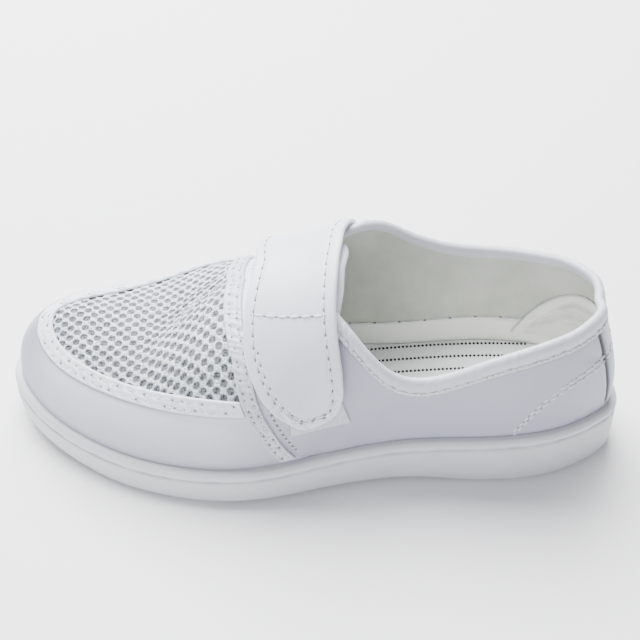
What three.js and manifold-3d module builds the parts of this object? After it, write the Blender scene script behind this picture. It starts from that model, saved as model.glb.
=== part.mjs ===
// Antistatic safety shoe, left foot: mesh vamp, one wide hook-and-loop strap, cup sole.
// Millimetres, +Z up. Heel towards +X, toe towards -X, medial side +Y, lateral side -Y.
// The origin is on the floor under the middle of the sole.

import * as THREE from "three";
import { mergeVertices } from "three/addons/utils/BufferGeometryUtils.js";
import Module from "manifold-3d";

const wasm = await Module();
wasm.setup();

// Driving sizes of the shoe
const LENGTH = 285; // outsole, back of the heel to tip of the toe
const BALL_WIDTH = 111; // outsole across the ball
const HEEL_RIM = 28; // top of the sole's rim above the floor at the heel
const INSTEP_HEIGHT = 119; // highest point of the foot form above the floor
const TOE_SPRING = 8.3; // lift of the sole under the tip of the toe
const ARCH_LIFT = 1.5; // lift of the sole under the waist
const WALL = 1.8; // leather, foam and lining of the upper together
const GAP = 0.3; // clearance between pieces that touch

// Sizes of the sole
const RIM_WIDTH = 3.7; // top of the rim, outside the upper
const CUP_DEPTH = 7; // rim top down to the floor of the cup
const EDGE_ROUND = 2.4; // rounded lower edge
const LIP_HEIGHT = 4.6; // raised lip along the top of the side
const LINE_HEIGHT = 1.2; // thin line moulded below the lip
const LINE_DEPTH = 1.1;
const FOOT_DROP = 1; // foot of the upper's outside below the top of the rim
const INSOLE_THICK = 3.5;
const TREAD_PITCH = 11; // from one cross groove to the next
const TREAD_WIDTH = 3;
const TREAD_DEPTH = 1.8;
const TREAD_MARGIN = 9; // uncut border of the tread

// Sizes of the pieces on the upper
const TRIM_THICK = 1.1; // crinkled tape around the mesh
const BAND_THICK = 1.3; // band from sole to sole along the back of the mesh
const BINDING_THICK = 1.2;
const BINDING_WIDTH = 8;
const STRAP_THICK = 2.4;
const STRAP_FRONT_RISE = 6.8; // clear height of the strap over the instep, front edge
const STRAP_REAR_RISE = 1.2;
const PATCH_THICK = 0.8; // hook patch and loop patch, each
const TONGUE_THICK = 3;
const TONGUE_RISE = 3.6; // the tongue's middle swells up between the collar's edges
const TONGUE_FRONT = 6.3; // stations of the tongue's two ends
const TONGUE_REAR = 4.98;
const GRIP_THICK = 1.4; // padded patch inside the heel

// The foot form, a row for each station from the back of the heel to the tip of the toe.
// at, topAt: shares of LENGTH from the heel. lateral, medial, topHalf, topMid: shares of
// half of BALL_WIDTH. rim: share of HEEL_RIM. topHeight: share of INSTEP_HEIGHT.
// lean: inward lean of the wall at its foot, degrees. fullLow, fullTop: fullness of the
// wall low down and near the top. crown: 1 where both sides meet over the foot, 0 where
// the top is open. collarLateral, collarMedial: how far up the wall goes on each side.
// toeLift: share of TOE_SPRING. archLift: share of ARCH_LIFT.
const COLUMNS = `at lateral medial rim topAt topHalf topMid topHeight lean fullLow fullTop crown
  collarLateral collarMedial toeLift archLift`.split(/\s+/);
const SECTIONS = [
  [0, -0.054, -0.054, 1, 0.076, 0, 0.029, 0.914, 8.3, 0.37, 0.41, 0, 0.73, 0.73, 0, 0],
  [0.033, -0.348, 0.407, 1.015, 0.074, 0.162, 0, 0.937, 9.7, 0.4, 0.4, 0, 0.72, 0.705, 0, 0],
  [0.112, -0.577, 0.627, 1.024, 0.128, 0.422, 0.01, 0.957, 11.4, 0.415, 0.4, 0, 0.673, 0.641, 0, 0],
  [0.222, -0.665, 0.691, 0.988, 0.223, 0.576, 0.027, 1.002, 13.2, 0.44, 0.395, 0, 0.556, 0.543, 0, 0],
  [0.338, -0.682, 0.663, 0.9, 0.345, 0.297, 0.033, 0.995, 8.7, 0.425, 0.385, 0.4, 0.39, 0.633, 0, 1],
  [0.455, -0.805, 0.682, 0.816, 0.45, 0, 0.06, 0.888, 3.6, 0.39, 0.41, 1, 0.676, 0.846, 0, 1],
  [0.57, -0.973, 0.805, 0.744, 0.545, 0, 0.086, 0.755, 3.6, 0.41, 0.42, 1, 1, 1, 0, 0.8],
  [0.685, -0.982, 0.972, 0.693, 0.641, 0, 0.109, 0.655, 3.9, 0.435, 0.425, 1, 1, 1, 0, 0],
  [0.8, -0.84, 0.979, 0.685, 0.731, 0, 0.096, 0.548, 4.1, 0.463, 0.425, 1, 1, 1, 0, 0],
  [0.903, -0.56, 0.821, 0.726, 0.802, 0, 0.097, 0.512, 4.3, 0.471, 0.43, 1, 1, 1, 0.32, 0],
  [0.97, -0.24, 0.549, 0.803, 0.842, 0, 0.112, 0.503, 4.5, 0.474, 0.43, 1, 1, 1, 0.62, 0],
  [1, 0.136, 0.136, 0.846, 0.853, 0, 0.13, 0.502, 4.5, 0.471, 0.43, 1, 1, 1, 1, 0],
];

// Outlines of the pieces on the upper. station counts SECTIONS rows. height runs from 0 at
// the sole on the lateral side over 1 at the ridge of the foot to 2 at the medial sole.
const STRAP_EDGES = [
  // height, front station, rear station
  [0.213, 5.4, 5.24],
  [0.225, 5.47, 5.1],
  [0.25, 5.57, 4.97],
  [0.29, 5.71, 4.9],
  [0.345, 5.87, 4.87],
  [0.42, 6.02, 4.88],
  [0.5, 6.14, 4.91],
  [0.6, 6.25, 4.95],
  [0.75, 6.3, 4.98],
  [0.9, 6.26, 4.98],
  [1.05, 6.24, 4.94],
  [1.2, 6.12, 4.82],
  [1.45, 5.92, 4.7],
];
const BAND_EDGES = [
  // height, front station, rear station
  [0, 5.64, 5.42],
  [0.1, 5.83, 5.62],
  [0.2, 5.99, 5.78],
  [0.3, 6.16, 5.93],
  [0.4, 6.29, 6.05],
  [0.6, 6.48, 6.22],
  [0.8, 6.73, 6.45],
  [1.0, 6.88, 6.58],
  [1.2, 6.68, 6.42],
  [1.4, 6.5, 6.26],
  [1.7, 6.16, 5.93],
  [2.0, 5.72, 5.5],
];
const MESH_EDGES = [
  // station around the toe (past the tip on the medial side), wall height at the
  // mesh's edge, wall height at the trim's outer edge
  [6.2, 0.38, 0.305],
  [7, 0.42, 0.33],
  [8, 0.485, 0.385],
  [9, 0.55, 0.43],
  [10, 0.645, 0.5],
  [11, 0.73, 0.585],
  [12, 0.77, 0.65],
  [13, 0.77, 0.66],
  [14, 0.7, 0.61],
  [15, 0.66, 0.58],
  [15.6, 0.65, 0.57],
];

// Steps of the faceted surfaces
const STEPS_PER_STATION = 4;
const WALL_STEPS = 9;

const STATIONS = SECTIONS.length - 1;
const AROUND = 2 * STATIONS; // stations around the shoe: lateral side out, medial side back
const HALF_WIDTH = BALL_WIDTH / 2;
const column = (name) => SECTIONS.map((row) => row[COLUMNS.indexOf(name)]);

// A ring of values around the shoe: lateral values from heel to toe, medial ones back
const ring = (lateral, medial) => [...lateral, ...medial.slice(1, STATIONS).reverse()];

// Smooth periodic curve through the ring's values (uniform cubic spline)
function smoothRing(values) {
  const count = values.length;
  const at = (list, i) => list[((i % count) + count) % count];
  const weights = [...values];
  for (let pass = 0; pass < 60; pass++) {
    for (let i = 0; i < count; i++) {
      weights[i] = (6 * values[i] - at(weights, i - 1) - at(weights, i + 1)) / 4;
    }
  }
  return (u) => {
    const i = Math.floor(u);
    const t = u - i;
    const s = 1 - t;
    const sum = s ** 3 * at(weights, i - 1) + (3 * t ** 3 - 6 * t ** 2 + 4) * at(weights, i)
      + (3 * s ** 3 - 6 * s ** 2 + 4) * at(weights, i + 1) + t ** 3 * at(weights, i + 2);
    return sum / 6;
  };
}

// Hermite blend between two values with two slopes
function hermite(t, from, to, slopeFrom, slopeTo) {
  return (2 * t ** 3 - 3 * t ** 2 + 1) * from + (t ** 3 - 2 * t ** 2 + t) * slopeFrom
    + (3 * t ** 2 - 2 * t ** 3) * to + (t ** 3 - t ** 2) * slopeTo;
}

// Slope that never overshoots: the harmonic mean of the steps on both sides
const steadySlope = (before, after) => (before * after > 0 ? (2 * before * after) / (before + after) : 0);

// Periodic curve through the ring's values that never overshoots them
function steadyRing(values) {
  const count = values.length;
  const at = (i) => values[((i % count) + count) % count];
  const slope = (i) => steadySlope(at(i) - at(i - 1), at(i + 1) - at(i));
  return (u) => {
    const i = Math.floor(u);
    return hermite(u - i, at(i), at(i + 1), slope(i), slope(i + 1));
  };
}

// Curve through a table: column 0 is the place, column c the value
function tableCurve(rows, c) {
  const step = (i) => (rows[i + 1][c] - rows[i][c]) / (rows[i + 1][0] - rows[i][0]);
  const last = rows.length - 1;
  const slope = (i) => (i === 0 ? step(0) : i === last ? step(last - 1) : steadySlope(step(i - 1), step(i)));
  return (x) => {
    let i = 0;
    while (i < last - 1 && x > rows[i + 1][0]) i++;
    const span = rows[i + 1][0] - rows[i][0];
    const t = Math.min(Math.max((x - rows[i][0]) / span, 0), 1);
    return hermite(t, rows[i][c], rows[i + 1][c], slope(i) * span, slope(i + 1) * span);
  };
}

const mix = (a, b, t) => a + (b - a) * t;
const smoothStep = (a, b, x) => {
  const t = Math.min(Math.max((x - a) / (b - a), 0), 1);
  return t * t * (3 - 2 * t);
};
const pair = (name) => ring(column(name), column(name));

const outlineX = smoothRing(ring(column("at"), column("at")).map((at) => (0.5 - at) * LENGTH));
const outlineY = smoothRing(ring(column("lateral"), column("medial")).map((y) => y * HALF_WIDTH));
const rimHeight = smoothRing(pair("rim").map((share) => share * HEEL_RIM));
const toeLift = steadyRing(pair("toeLift").map((share) => share * TOE_SPRING));
const archLift = steadyRing(pair("archLift").map((share) => share * ARCH_LIFT));
const topX = smoothRing(pair("topAt").map((at) => (0.5 - at) * LENGTH));
const topHalf = steadyRing(pair("topHalf").map((y) => y * HALF_WIDTH));
const topMid = smoothRing(pair("topMid").map((y) => y * HALF_WIDTH));
const topZ = smoothRing(pair("topHeight").map((z) => z * INSTEP_HEIGHT));
const leanAngle = smoothRing(pair("lean").map((degrees) => (degrees * Math.PI) / 180));
const fullLow = smoothRing(pair("fullLow"));
const fullTop = smoothRing(pair("fullTop"));
const crown = steadyRing(pair("crown"));
const collarLateral = smoothRing(pair("collarLateral"));
const collarMedial = smoothRing(pair("collarMedial"));

const wrap = (u) => ((u % AROUND) + AROUND) % AROUND;
const isLateral = (u) => wrap(u) <= STATIONS;
const stationOf = (u) => (isLateral(u) ? wrap(u) : AROUND - wrap(u));
const THROAT = column("collarLateral").indexOf(1); // station from which the foot form is closed
function collarAt(u) {
  if (stationOf(u) >= THROAT) return 1;
  return Math.min(1, isLateral(u) ? collarLateral(u) : collarMedial(u));
}
const soleFloor = (u) => toeLift(u) + archLift(u);

// Point of the sole's outline, moved inward by inset
function outline(u, inset, z) {
  const h = 0.001;
  const tangent = new THREE.Vector2(outlineX(u + h) - outlineX(u - h), outlineY(u + h) - outlineY(u - h));
  tangent.normalize();
  return new THREE.Vector3(outlineX(u) + tangent.y * inset, outlineY(u) - tangent.x * inset, z);
}

// Slope of the ridge line, rise per millimetre towards the heel
function ridgeSlope(u) {
  const k = Math.min(Math.max(stationOf(u), 0.25), STATIONS - 0.25);
  const h = 0.1;
  return (topZ(k + h) - topZ(k - h)) / (topX(k + h) - topX(k - h));
}

// The outside of the upper: a cubic arc from the sole (v = 0) to the top line (v = 1)
const UPPER_INSET = RIM_WIDTH + GAP;
function form(u, v) {
  const foot = outline(u, UPPER_INSET, rimHeight(u) - FOOT_DROP);
  const side = isLateral(u) ? -1 : 1;
  const top = new THREE.Vector3(topX(u), topMid(u) + side * topHalf(u), topZ(u));
  const chord = foot.distanceTo(top);
  const inward = new THREE.Vector2(top.x - foot.x, top.y - foot.y).normalize();
  const lean = leanAngle(u);
  const rise = new THREE.Vector3(-inward.x * Math.sin(lean), -inward.y * Math.sin(lean), Math.cos(lean));
  const over = new THREE.Vector3(inward.x, inward.y, ridgeSlope(u) * inward.x).normalize();
  const steep = new THREE.Vector3(inward.x * 0.12, inward.y * 0.12, 1);
  const finish = over.multiplyScalar(crown(u)).addScaledVector(steep, 1 - crown(u)).normalize();
  const low = foot.clone().addScaledVector(rise, fullLow(u) * chord);
  const high = top.clone().addScaledVector(finish, -fullTop(u) * chord);
  const w = 1 - v;
  return foot.multiplyScalar(w ** 3).addScaledVector(low, 3 * w * w * v)
    .addScaledVector(high, 3 * w * v * v).addScaledVector(top, v ** 3);
}

// Direction up along the wall, and out of the wall
function wallFrame(u, v) {
  const h = 0.002;
  const around = form(u + h, v).sub(form(u - h, v));
  const up = form(u, v + h).sub(form(u, v - h)).normalize();
  const isRidge = v > 0.997 && crown(u) > 0.999;
  const out = isRidge ? new THREE.Vector3(-ridgeSlope(u), 0, 1) : new THREE.Vector3().crossVectors(up, around);
  return { up, out: out.normalize() };
}

// Point at a distance outside (or, below zero, inside) the upper's outer face
function skin(u, v, distance) {
  const onLateral = v >= 1 && !isLateral(u) && crown(u) > 0.999 ? AROUND - wrap(u) : u;
  return form(onLateral, v).addScaledVector(wallFrame(onLateral, v).out, distance);
}

// The same for a station and a height that crosses the ridge from lateral to medial
function across(station, height, distance) {
  return height <= 1 ? skin(station, height, distance) : skin(AROUND - station, 2 - height, distance);
}

// Height on the wall of the binding's lower edge
function bindingFoot(u) {
  const v = collarAt(u);
  const rise = form(u, v).distanceTo(form(u, v - 0.05)) / 0.05;
  return v - BINDING_WIDTH / rise;
}

// Turns points and triangles into a closed geometry with its faces out
function closedGeometry(points, triangles) {
  const geometry = new THREE.BufferGeometry();
  geometry.setAttribute("position", new THREE.Float32BufferAttribute(points.flatMap((p) => [p.x, p.y, p.z]), 3));
  geometry.setIndex(triangles.flat());
  const merged = mergeVertices(geometry, 1e-3);
  const index = merged.index.array;
  const kept = [];
  for (let i = 0; i < index.length; i += 3) {
    const [a, b, c] = [index[i], index[i + 1], index[i + 2]];
    if (a !== b && b !== c && c !== a) kept.push([a, b, c]);
  }
  const corner = (i) => new THREE.Vector3().fromBufferAttribute(merged.attributes.position, i);
  const volume = kept.reduce((sum, [a, b, c]) => sum + corner(a).dot(corner(b).cross(corner(c))), 0);
  merged.setIndex(kept.flatMap(([a, b, c]) => (volume < 0 ? [a, c, b] : [a, b, c])));
  merged.computeVertexNormals();
  return merged;
}

// A sheet with thickness: outer and inner are grids of points, rows along, columns across
function sheet(outer, inner) {
  const rows = outer.length;
  const cols = outer[0].length;
  const points = [...outer.flat(), ...inner.flat()];
  const id = (layer, i, j) => (layer * rows + i) * cols + j;
  const triangles = [];
  const quad = (a, b, c, d) => triangles.push([a, b, c], [a, c, d]);
  for (let i = 0; i < rows - 1; i++) {
    for (let j = 0; j < cols - 1; j++) {
      quad(id(0, i, j), id(0, i + 1, j), id(0, i + 1, j + 1), id(0, i, j + 1));
      quad(id(1, i, j), id(1, i, j + 1), id(1, i + 1, j + 1), id(1, i + 1, j));
    }
    quad(id(0, i, 0), id(1, i, 0), id(1, i + 1, 0), id(0, i + 1, 0));
    quad(id(0, i, cols - 1), id(0, i + 1, cols - 1), id(1, i + 1, cols - 1), id(1, i, cols - 1));
  }
  for (let j = 0; j < cols - 1; j++) {
    quad(id(0, 0, j), id(0, 0, j + 1), id(1, 0, j + 1), id(1, 0, j));
    quad(id(0, rows - 1, j), id(1, rows - 1, j), id(1, rows - 1, j + 1), id(0, rows - 1, j + 1));
  }
  return closedGeometry(points, triangles);
}

// Grid of points over two ranges
function grid(rows, cols, point) {
  return Array.from({ length: rows + 1 }, (_, i) => Array.from({ length: cols + 1 }, (_, j) => point(i / rows, j / cols)));
}

// A sheet between two distances from a surface, point(s, t, side) with side 0 outer, 1 inner
const layer = (rows, cols, point) => sheet(
  grid(rows, cols, (s, t) => point(s, t, 0)),
  grid(rows, cols, (s, t) => point(s, t, 1)),
);

// Places around the shoe, and the same walked from the lateral to the medial partner
const aroundSteps = Array.from({ length: AROUND * STEPS_PER_STATION }, (_, i) => i / STEPS_PER_STATION);

// A solid of stacked closed rings, both ends closed by strips from lateral to medial partner
function stack(rings) {
  const count = aroundSteps.length;
  const points = rings.flat();
  const triangles = [];
  for (let r = 0; r < rings.length - 1; r++) {
    for (let i = 0; i < count; i++) {
      const next = (i + 1) % count;
      const [a, b, c, d] = [r * count + i, r * count + next, (r + 1) * count + next, (r + 1) * count + i];
      triangles.push([a, b, c], [a, c, d]);
    }
  }
  const close = (start, flip) => {
    for (let i = 0; i < count / 2; i++) {
      const partner = (j) => start + ((count - j) % count);
      const [a, b, c, d] = [start + i, start + i + 1, partner(i + 1), partner(i)];
      const pairOf = flip ? [[a, c, b], [a, d, c]] : [[a, b, c], [a, c, d]];
      triangles.push(...pairOf);
    }
  };
  close(0, true);
  close((rings.length - 1) * count, false);
  return closedGeometry(points, triangles);
}

// Solid for cutting, and back
function toSolid(geometry) {
  const bare = new THREE.BufferGeometry();
  bare.setAttribute("position", geometry.attributes.position.clone());
  if (geometry.index) bare.setIndex(geometry.index.clone());
  const merged = mergeVertices(bare, 1e-4);
  const vertProperties = new Float32Array(merged.attributes.position.array);
  const triVerts = new Uint32Array(merged.index.array);
  return new wasm.Manifold(new wasm.Mesh({ numProp: 3, vertProperties, triVerts }));
}
function fromSolid(solid) {
  const mesh = solid.getMesh();
  const geometry = new THREE.BufferGeometry();
  geometry.setAttribute("position", new THREE.BufferAttribute(new Float32Array(mesh.vertProperties), 3));
  geometry.setIndex(new THREE.BufferAttribute(new Uint32Array(mesh.triVerts), 1));
  geometry.computeVertexNormals();
  return geometry;
}

// Outsole: cup of moulded foam with a lip, a thin line, a rounded edge and cross grooves
function outsole() {
  const level = (z, inset) => aroundSteps.map((u) => outline(u, inset, z(u)));
  const fromFloor = (share, inset) => level((u) => soleFloor(u) + share * EDGE_ROUND, inset * EDGE_ROUND);
  const fromRim = (drop, inset) => level((u) => rimHeight(u) - drop, inset);
  const lineTop = LIP_HEIGHT;
  const lineBottom = LIP_HEIGHT + LINE_HEIGHT;
  const body = toSolid(stack([
    fromFloor(0, 1),
    fromFloor(0.13, 0.5),
    fromFloor(0.5, 0.13),
    fromFloor(1, 0),
    fromRim(lineBottom, 0),
    fromRim((lineTop + lineBottom) / 2, LINE_DEPTH),
    fromRim(lineTop, 0.1 * RIM_WIDTH),
    fromRim(0.7 * LIP_HEIGHT, 0),
    fromRim(0.3 * LIP_HEIGHT, 0.07 * RIM_WIDTH),
    fromRim(0.08 * LIP_HEIGHT, 0.35 * RIM_WIDTH),
    fromRim(0, 0.7 * RIM_WIDTH),
    fromRim(0.1 * LIP_HEIGHT, RIM_WIDTH),
    fromRim(CUP_DEPTH, RIM_WIDTH),
  ]));
  return fromSolid(treadGrooves().reduce((solid, groove) => solid.subtract(groove), body));
}

// Cross grooves under heel and forefoot, from the lateral to the medial border
function treadGrooves() {
  const stationAtX = (x) => {
    let low = 0;
    let high = STATIONS;
    for (let i = 0; i < 40; i++) {
      const middle = (low + high) / 2;
      if (outlineX(middle) > x) low = middle;
      else high = middle;
    }
    return low;
  };
  const zones = [[0.41, 0.18], [-0.1, -0.41]]; // shares of LENGTH, heel then forefoot
  const grooves = [];
  for (const [from, to] of zones) {
    const count = Math.floor(((from - to) * LENGTH) / TREAD_PITCH);
    for (let i = 0; i <= count; i++) {
      const station = stationAtX(from * LENGTH - i * TREAD_PITCH);
      const z = soleFloor(station);
      const a = outline(station, TREAD_MARGIN, z);
      const b = outline(AROUND - station, TREAD_MARGIN, z);
      const bar = new THREE.BoxGeometry(TREAD_WIDTH, a.distanceTo(b), 2 * TREAD_DEPTH);
      bar.rotateZ(Math.atan2(a.x - b.x, b.y - a.y));
      bar.translate((a.x + b.x) / 2, (a.y + b.y) / 2, z);
      grooves.push(toSolid(bar));
    }
  }
  return grooves;
}

// Insole: thin board with cloth on it, lying in the cup inside the upper
function insole() {
  const inset = UPPER_INSET + WALL + GAP;
  const level = (lift, extra) => aroundSteps.map((u) => outline(u, inset + extra, rimHeight(u) - CUP_DEPTH + lift));
  return stack([
    level(GAP, 0),
    level(GAP + 0.85 * INSOLE_THICK, 0),
    level(GAP + INSOLE_THICK, 0.3 * INSOLE_THICK),
  ]);
}

// Upper: one hollow wall from the cup of the sole to the collar, closed over the toes
function upper() {
  const rowCount = WALL_STEPS + 2; // the last step is as high as the binding
  const wallPoint = (u, j, distance) => {
    if (j === 0) return outline(u, UPPER_INSET - distance, rimHeight(u) - CUP_DEPTH + GAP);
    if (j > WALL_STEPS) return skin(u, collarAt(u), distance);
    return skin(u, (bindingFoot(u) * (j - 1)) / (WALL_STEPS - 1), distance);
  };
  const points = [];
  for (const distance of [0, -WALL]) {
    for (const u of aroundSteps) {
      for (let j = 0; j < rowCount; j++) points.push(wallPoint(u, j, distance));
    }
  }
  const count = aroundSteps.length;
  const id = (side, i, j) => (side * count + (i % count)) * rowCount + j;
  const triangles = [];
  const quad = (a, b, c, d) => triangles.push([a, b, c], [a, c, d]);
  const isClosed = (i) => collarAt(aroundSteps[i % count]) > 0.9999;
  for (let i = 0; i < count; i++) {
    for (let j = 0; j < rowCount - 1; j++) {
      quad(id(0, i, j), id(0, i + 1, j), id(0, i + 1, j + 1), id(0, i, j + 1));
      quad(id(1, i + 1, j), id(1, i, j), id(1, i, j + 1), id(1, i + 1, j + 1));
    }
    quad(id(0, i, 0), id(1, i, 0), id(1, i + 1, 0), id(0, i + 1, 0));
    const top = rowCount - 1;
    if (!(isClosed(i) && isClosed(i + 1))) {
      quad(id(0, i, top), id(0, i + 1, top), id(1, i + 1, top), id(1, i, top));
    }
  }
  return closedGeometry(points, triangles);
}

// Crinkled tape around the mesh window, from band to band around the toe
function meshEdgeTrim() {
  const inner = tableCurve(MESH_EDGES, 1);
  const outer = tableCurve(MESH_EDGES, 2);
  const bandFront = tableCurve(BAND_EDGES, 1);
  const spare = 0.03;
  return layer(36, 2, (s, t, side) => {
    const heightAt = (u) => mix(inner(u), outer(u), t);
    const first = bandFront(heightAt(6.25)) + spare;
    const last = AROUND - bandFront(2 - heightAt(15.5)) - spare;
    const u = mix(first, last, s);
    return skin(u, heightAt(u), GAP + (side ? 0 : TRIM_THICK));
  });
}

// Band over the back edge of the mesh, from the sole over the instep to the sole
function throatBand() {
  const front = tableCurve(BAND_EDGES, 1);
  const rear = tableCurve(BAND_EDGES, 2);
  const low = 0.03;
  return layer(36, 2, (s, t, side) => {
    const height = mix(low, 2 - low, s);
    return across(mix(front(height), rear(height), t), height, GAP + (side ? 0 : BAND_THICK));
  });
}

// Binding folded over the edge of the collar, its ends hidden under the strap
function collarBinding() {
  const start = 5.5; // station where the strap hides both ends
  const section = (u, side) => {
    const v = collarAt(u);
    const reach = GAP + (side ? 0 : BINDING_THICK);
    const { up } = wallFrame(u, v);
    const shoulder = (distance, lift) => skin(u, v, distance).addScaledVector(up, lift);
    return [
      skin(u, bindingFoot(u), reach),
      shoulder(reach, 0),
      shoulder(0.35 * reach, 0.75 * reach),
      shoulder(-WALL / 2, reach),
      shoulder(-WALL - 0.35 * reach, 0.75 * reach),
      shoulder(-WALL - reach, 0),
      skin(u, bindingFoot(u), -WALL - reach),
    ];
  };
  const steps = 2 * start * STEPS_PER_STATION;
  const walk = Array.from({ length: steps + 1 }, (_, i) => wrap(mix(-start, start, i / steps)));
  return sheet(walk.map((u) => section(u, 0)), walk.map((u) => section(u, 1)));
}

// Clear height of the strap over the upper: patches at the lateral end, a bridge over the
// instep, sewn down on the medial side
function strapClearance(height, share) {
  const stacked = 3 * GAP + 2 * PATCH_THICK;
  const bridge = mix(STRAP_FRONT_RISE, STRAP_REAR_RISE, share) + BINDING_THICK + GAP;
  const overInstep = mix(stacked, bridge, smoothStep(0.5, 0.95, height));
  return mix(overInstep, GAP + BINDING_THICK + GAP, smoothStep(1.12, 1.42, height));
}

// Strap: folded leather with a rounded end on the lateral side
function strap() {
  const front = tableCurve(STRAP_EDGES, 1);
  const rear = tableCurve(STRAP_EDGES, 2);
  const first = STRAP_EDGES[0][0];
  const end = STRAP_EDGES[STRAP_EDGES.length - 1][0];
  return layer(30, 6, (s, t, side) => {
    const height = mix(first, end, s ** 1.35);
    const lift = strapClearance(height, t) + (side ? 0 : STRAP_THICK);
    return across(mix(front(height), rear(height), t), height, lift);
  });
}

// Patch of hook or loop tape on the lateral quarter, by stations and wall heights
function patch(stations, heights, lift) {
  return layer(5, 4, (s, t, side) => across(
    mix(stations[0], stations[1], t),
    mix(heights[0], heights[1], s),
    lift + (side ? 0 : PATCH_THICK),
  ));
}
const loopPatch = () => patch([5.56, 4.74], [0.165, 0.42], GAP);
const hookPatch = () => patch([5.7, 5.0], [0.27, 0.42], 2 * GAP + PATCH_THICK);

// Tongue: padded piece under the strap, inside the collar, standing out behind the strap
function tongue() {
  const sideDepth = -(WALL + BINDING_THICK + 4 * GAP);
  return layer(10, 10, (s, t, side) => {
    const station = mix(TONGUE_FRONT, TONGUE_REAR, s);
    const corner = 0.14 * smoothStep(0.6, 1, s) ** 2;
    const height = mix(0.62 + corner, 1.26 - corner, t);
    const held = Math.max(station, TONGUE_REAR + 0.04);
    const fromLateral = height - collarAt(held) - 0.07;
    const fromMedial = 2 - collarAt(AROUND - held) - 0.07 - height;
    const swell = smoothStep(0, 0.18, fromLateral) * smoothStep(0, 0.18, fromMedial);
    const depth = sideDepth + TONGUE_RISE * swell - (side ? TONGUE_THICK : 0);
    const point = across(held, height, depth);
    const behind = across(held + 0.3, height, depth);
    return point.add(point.clone().sub(behind).multiplyScalar((held - station) / 0.3));
  });
}

// Padded patch inside the back of the heel, arched at its top edge
function heelGrip() {
  const reach = 2.5; // stations to each side of the back
  return layer(2 * reach * STEPS_PER_STATION, 5, (s, t, side) => {
    const u = mix(-reach, reach, s);
    const arch = 0.56 - 0.3 * Math.abs(2 * s - 1) ** 2.4;
    const depth = -(WALL + GAP) - (side ? 0 : GRIP_THICK);
    return skin(wrap(u), mix(0.08, arch, t), depth);
  });
}

// Materials
const finish = (color, roughness) => new THREE.MeshStandardMaterial({ color, roughness, metalness: 0 });
const soleFoam = finish(0xdfe3e2, 0.55);
const whiteLeather = finish(0xeeeef2, 0.45);
const softTape = finish(0xe9e9ed, 0.6);
const liningCloth = finish(0xdcdfd8, 0.9);
const insoleCloth = finish(0xe6e6e6, 0.9);
const hookTape = finish(0xf0f0f0, 0.4);

// The shoe
const shoe = new THREE.Group();
function add(name, geometry, material) {
  const mesh = new THREE.Mesh(geometry, material);
  mesh.name = name;
  shoe.add(mesh);
}
add("outsole", outsole(), soleFoam);
add("insole", insole(), insoleCloth);
add("upper", upper(), whiteLeather);
add("mesh_edge_trim", meshEdgeTrim(), softTape);
add("throat_band", throatBand(), whiteLeather);
add("collar_binding", collarBinding(), whiteLeather);
add("strap", strap(), whiteLeather);
add("loop_patch", loopPatch(), hookTape);
add("hook_patch", hookPatch(), hookTape);
add("tongue", tongue(), whiteLeather);
add("heel_grip", heelGrip(), liningCloth);

export default shoe;
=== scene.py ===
import bmesh
import bpy
import numpy as np
from mathutils import Matrix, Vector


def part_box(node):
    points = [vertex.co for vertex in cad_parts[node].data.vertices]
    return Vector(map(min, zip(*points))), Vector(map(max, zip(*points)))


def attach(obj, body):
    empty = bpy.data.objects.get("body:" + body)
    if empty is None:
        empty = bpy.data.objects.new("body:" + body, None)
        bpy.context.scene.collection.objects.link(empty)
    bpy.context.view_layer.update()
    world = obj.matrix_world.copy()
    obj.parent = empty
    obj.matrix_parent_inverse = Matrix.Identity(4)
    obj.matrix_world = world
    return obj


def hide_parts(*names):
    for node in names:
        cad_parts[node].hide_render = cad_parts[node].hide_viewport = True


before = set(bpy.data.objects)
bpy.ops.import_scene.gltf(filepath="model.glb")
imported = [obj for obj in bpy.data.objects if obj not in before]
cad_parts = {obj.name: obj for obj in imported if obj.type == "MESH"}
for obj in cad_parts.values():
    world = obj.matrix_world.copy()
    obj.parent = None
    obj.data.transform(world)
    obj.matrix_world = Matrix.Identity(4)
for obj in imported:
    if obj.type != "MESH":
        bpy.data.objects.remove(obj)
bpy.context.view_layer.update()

# Camera, floor and light
# The camera looks down on the shoe's outer side from half height, a little rolled. The floor
# is plain and pale, and a wide soft lamp hangs over it in an evenly bright room.
MM = 0.001
VIEW_AZIMUTH = np.radians(3.29)
VIEW_ELEVATION = np.radians(45.92)
VIEW_ROLL = np.radians(-0.45)
VIEW_DISTANCE = 0.601
VIEW_TARGET = np.array([0, 0.002, 0.035])
PICTURE = 640
FOCAL_PIXELS = 1286
SHIFT_PIXELS = (9.1, 43.2)
SENSOR_WIDTH = 36
FLOOR_SIZE = 6
FLOOR_DROP = 0.0002
ROOM_COLOUR = (0.93, 0.95, 1, 1)
ROOM_LIGHT = 0.42


def unit(vector):
    """Vectors of length 1."""
    return vector / np.maximum(np.linalg.norm(vector, axis=-1, keepdims=True), 1e-9)


def set_place(thing, right, up, back, place):
    """Put a camera or lamp at a place, with these directions as its own x, y and z."""
    axes = np.column_stack([right, up, back, place])
    thing.matrix_world = Matrix(np.vstack([axes, [0, 0, 0, 1]]).tolist())
    bpy.context.collection.objects.link(thing)


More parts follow.
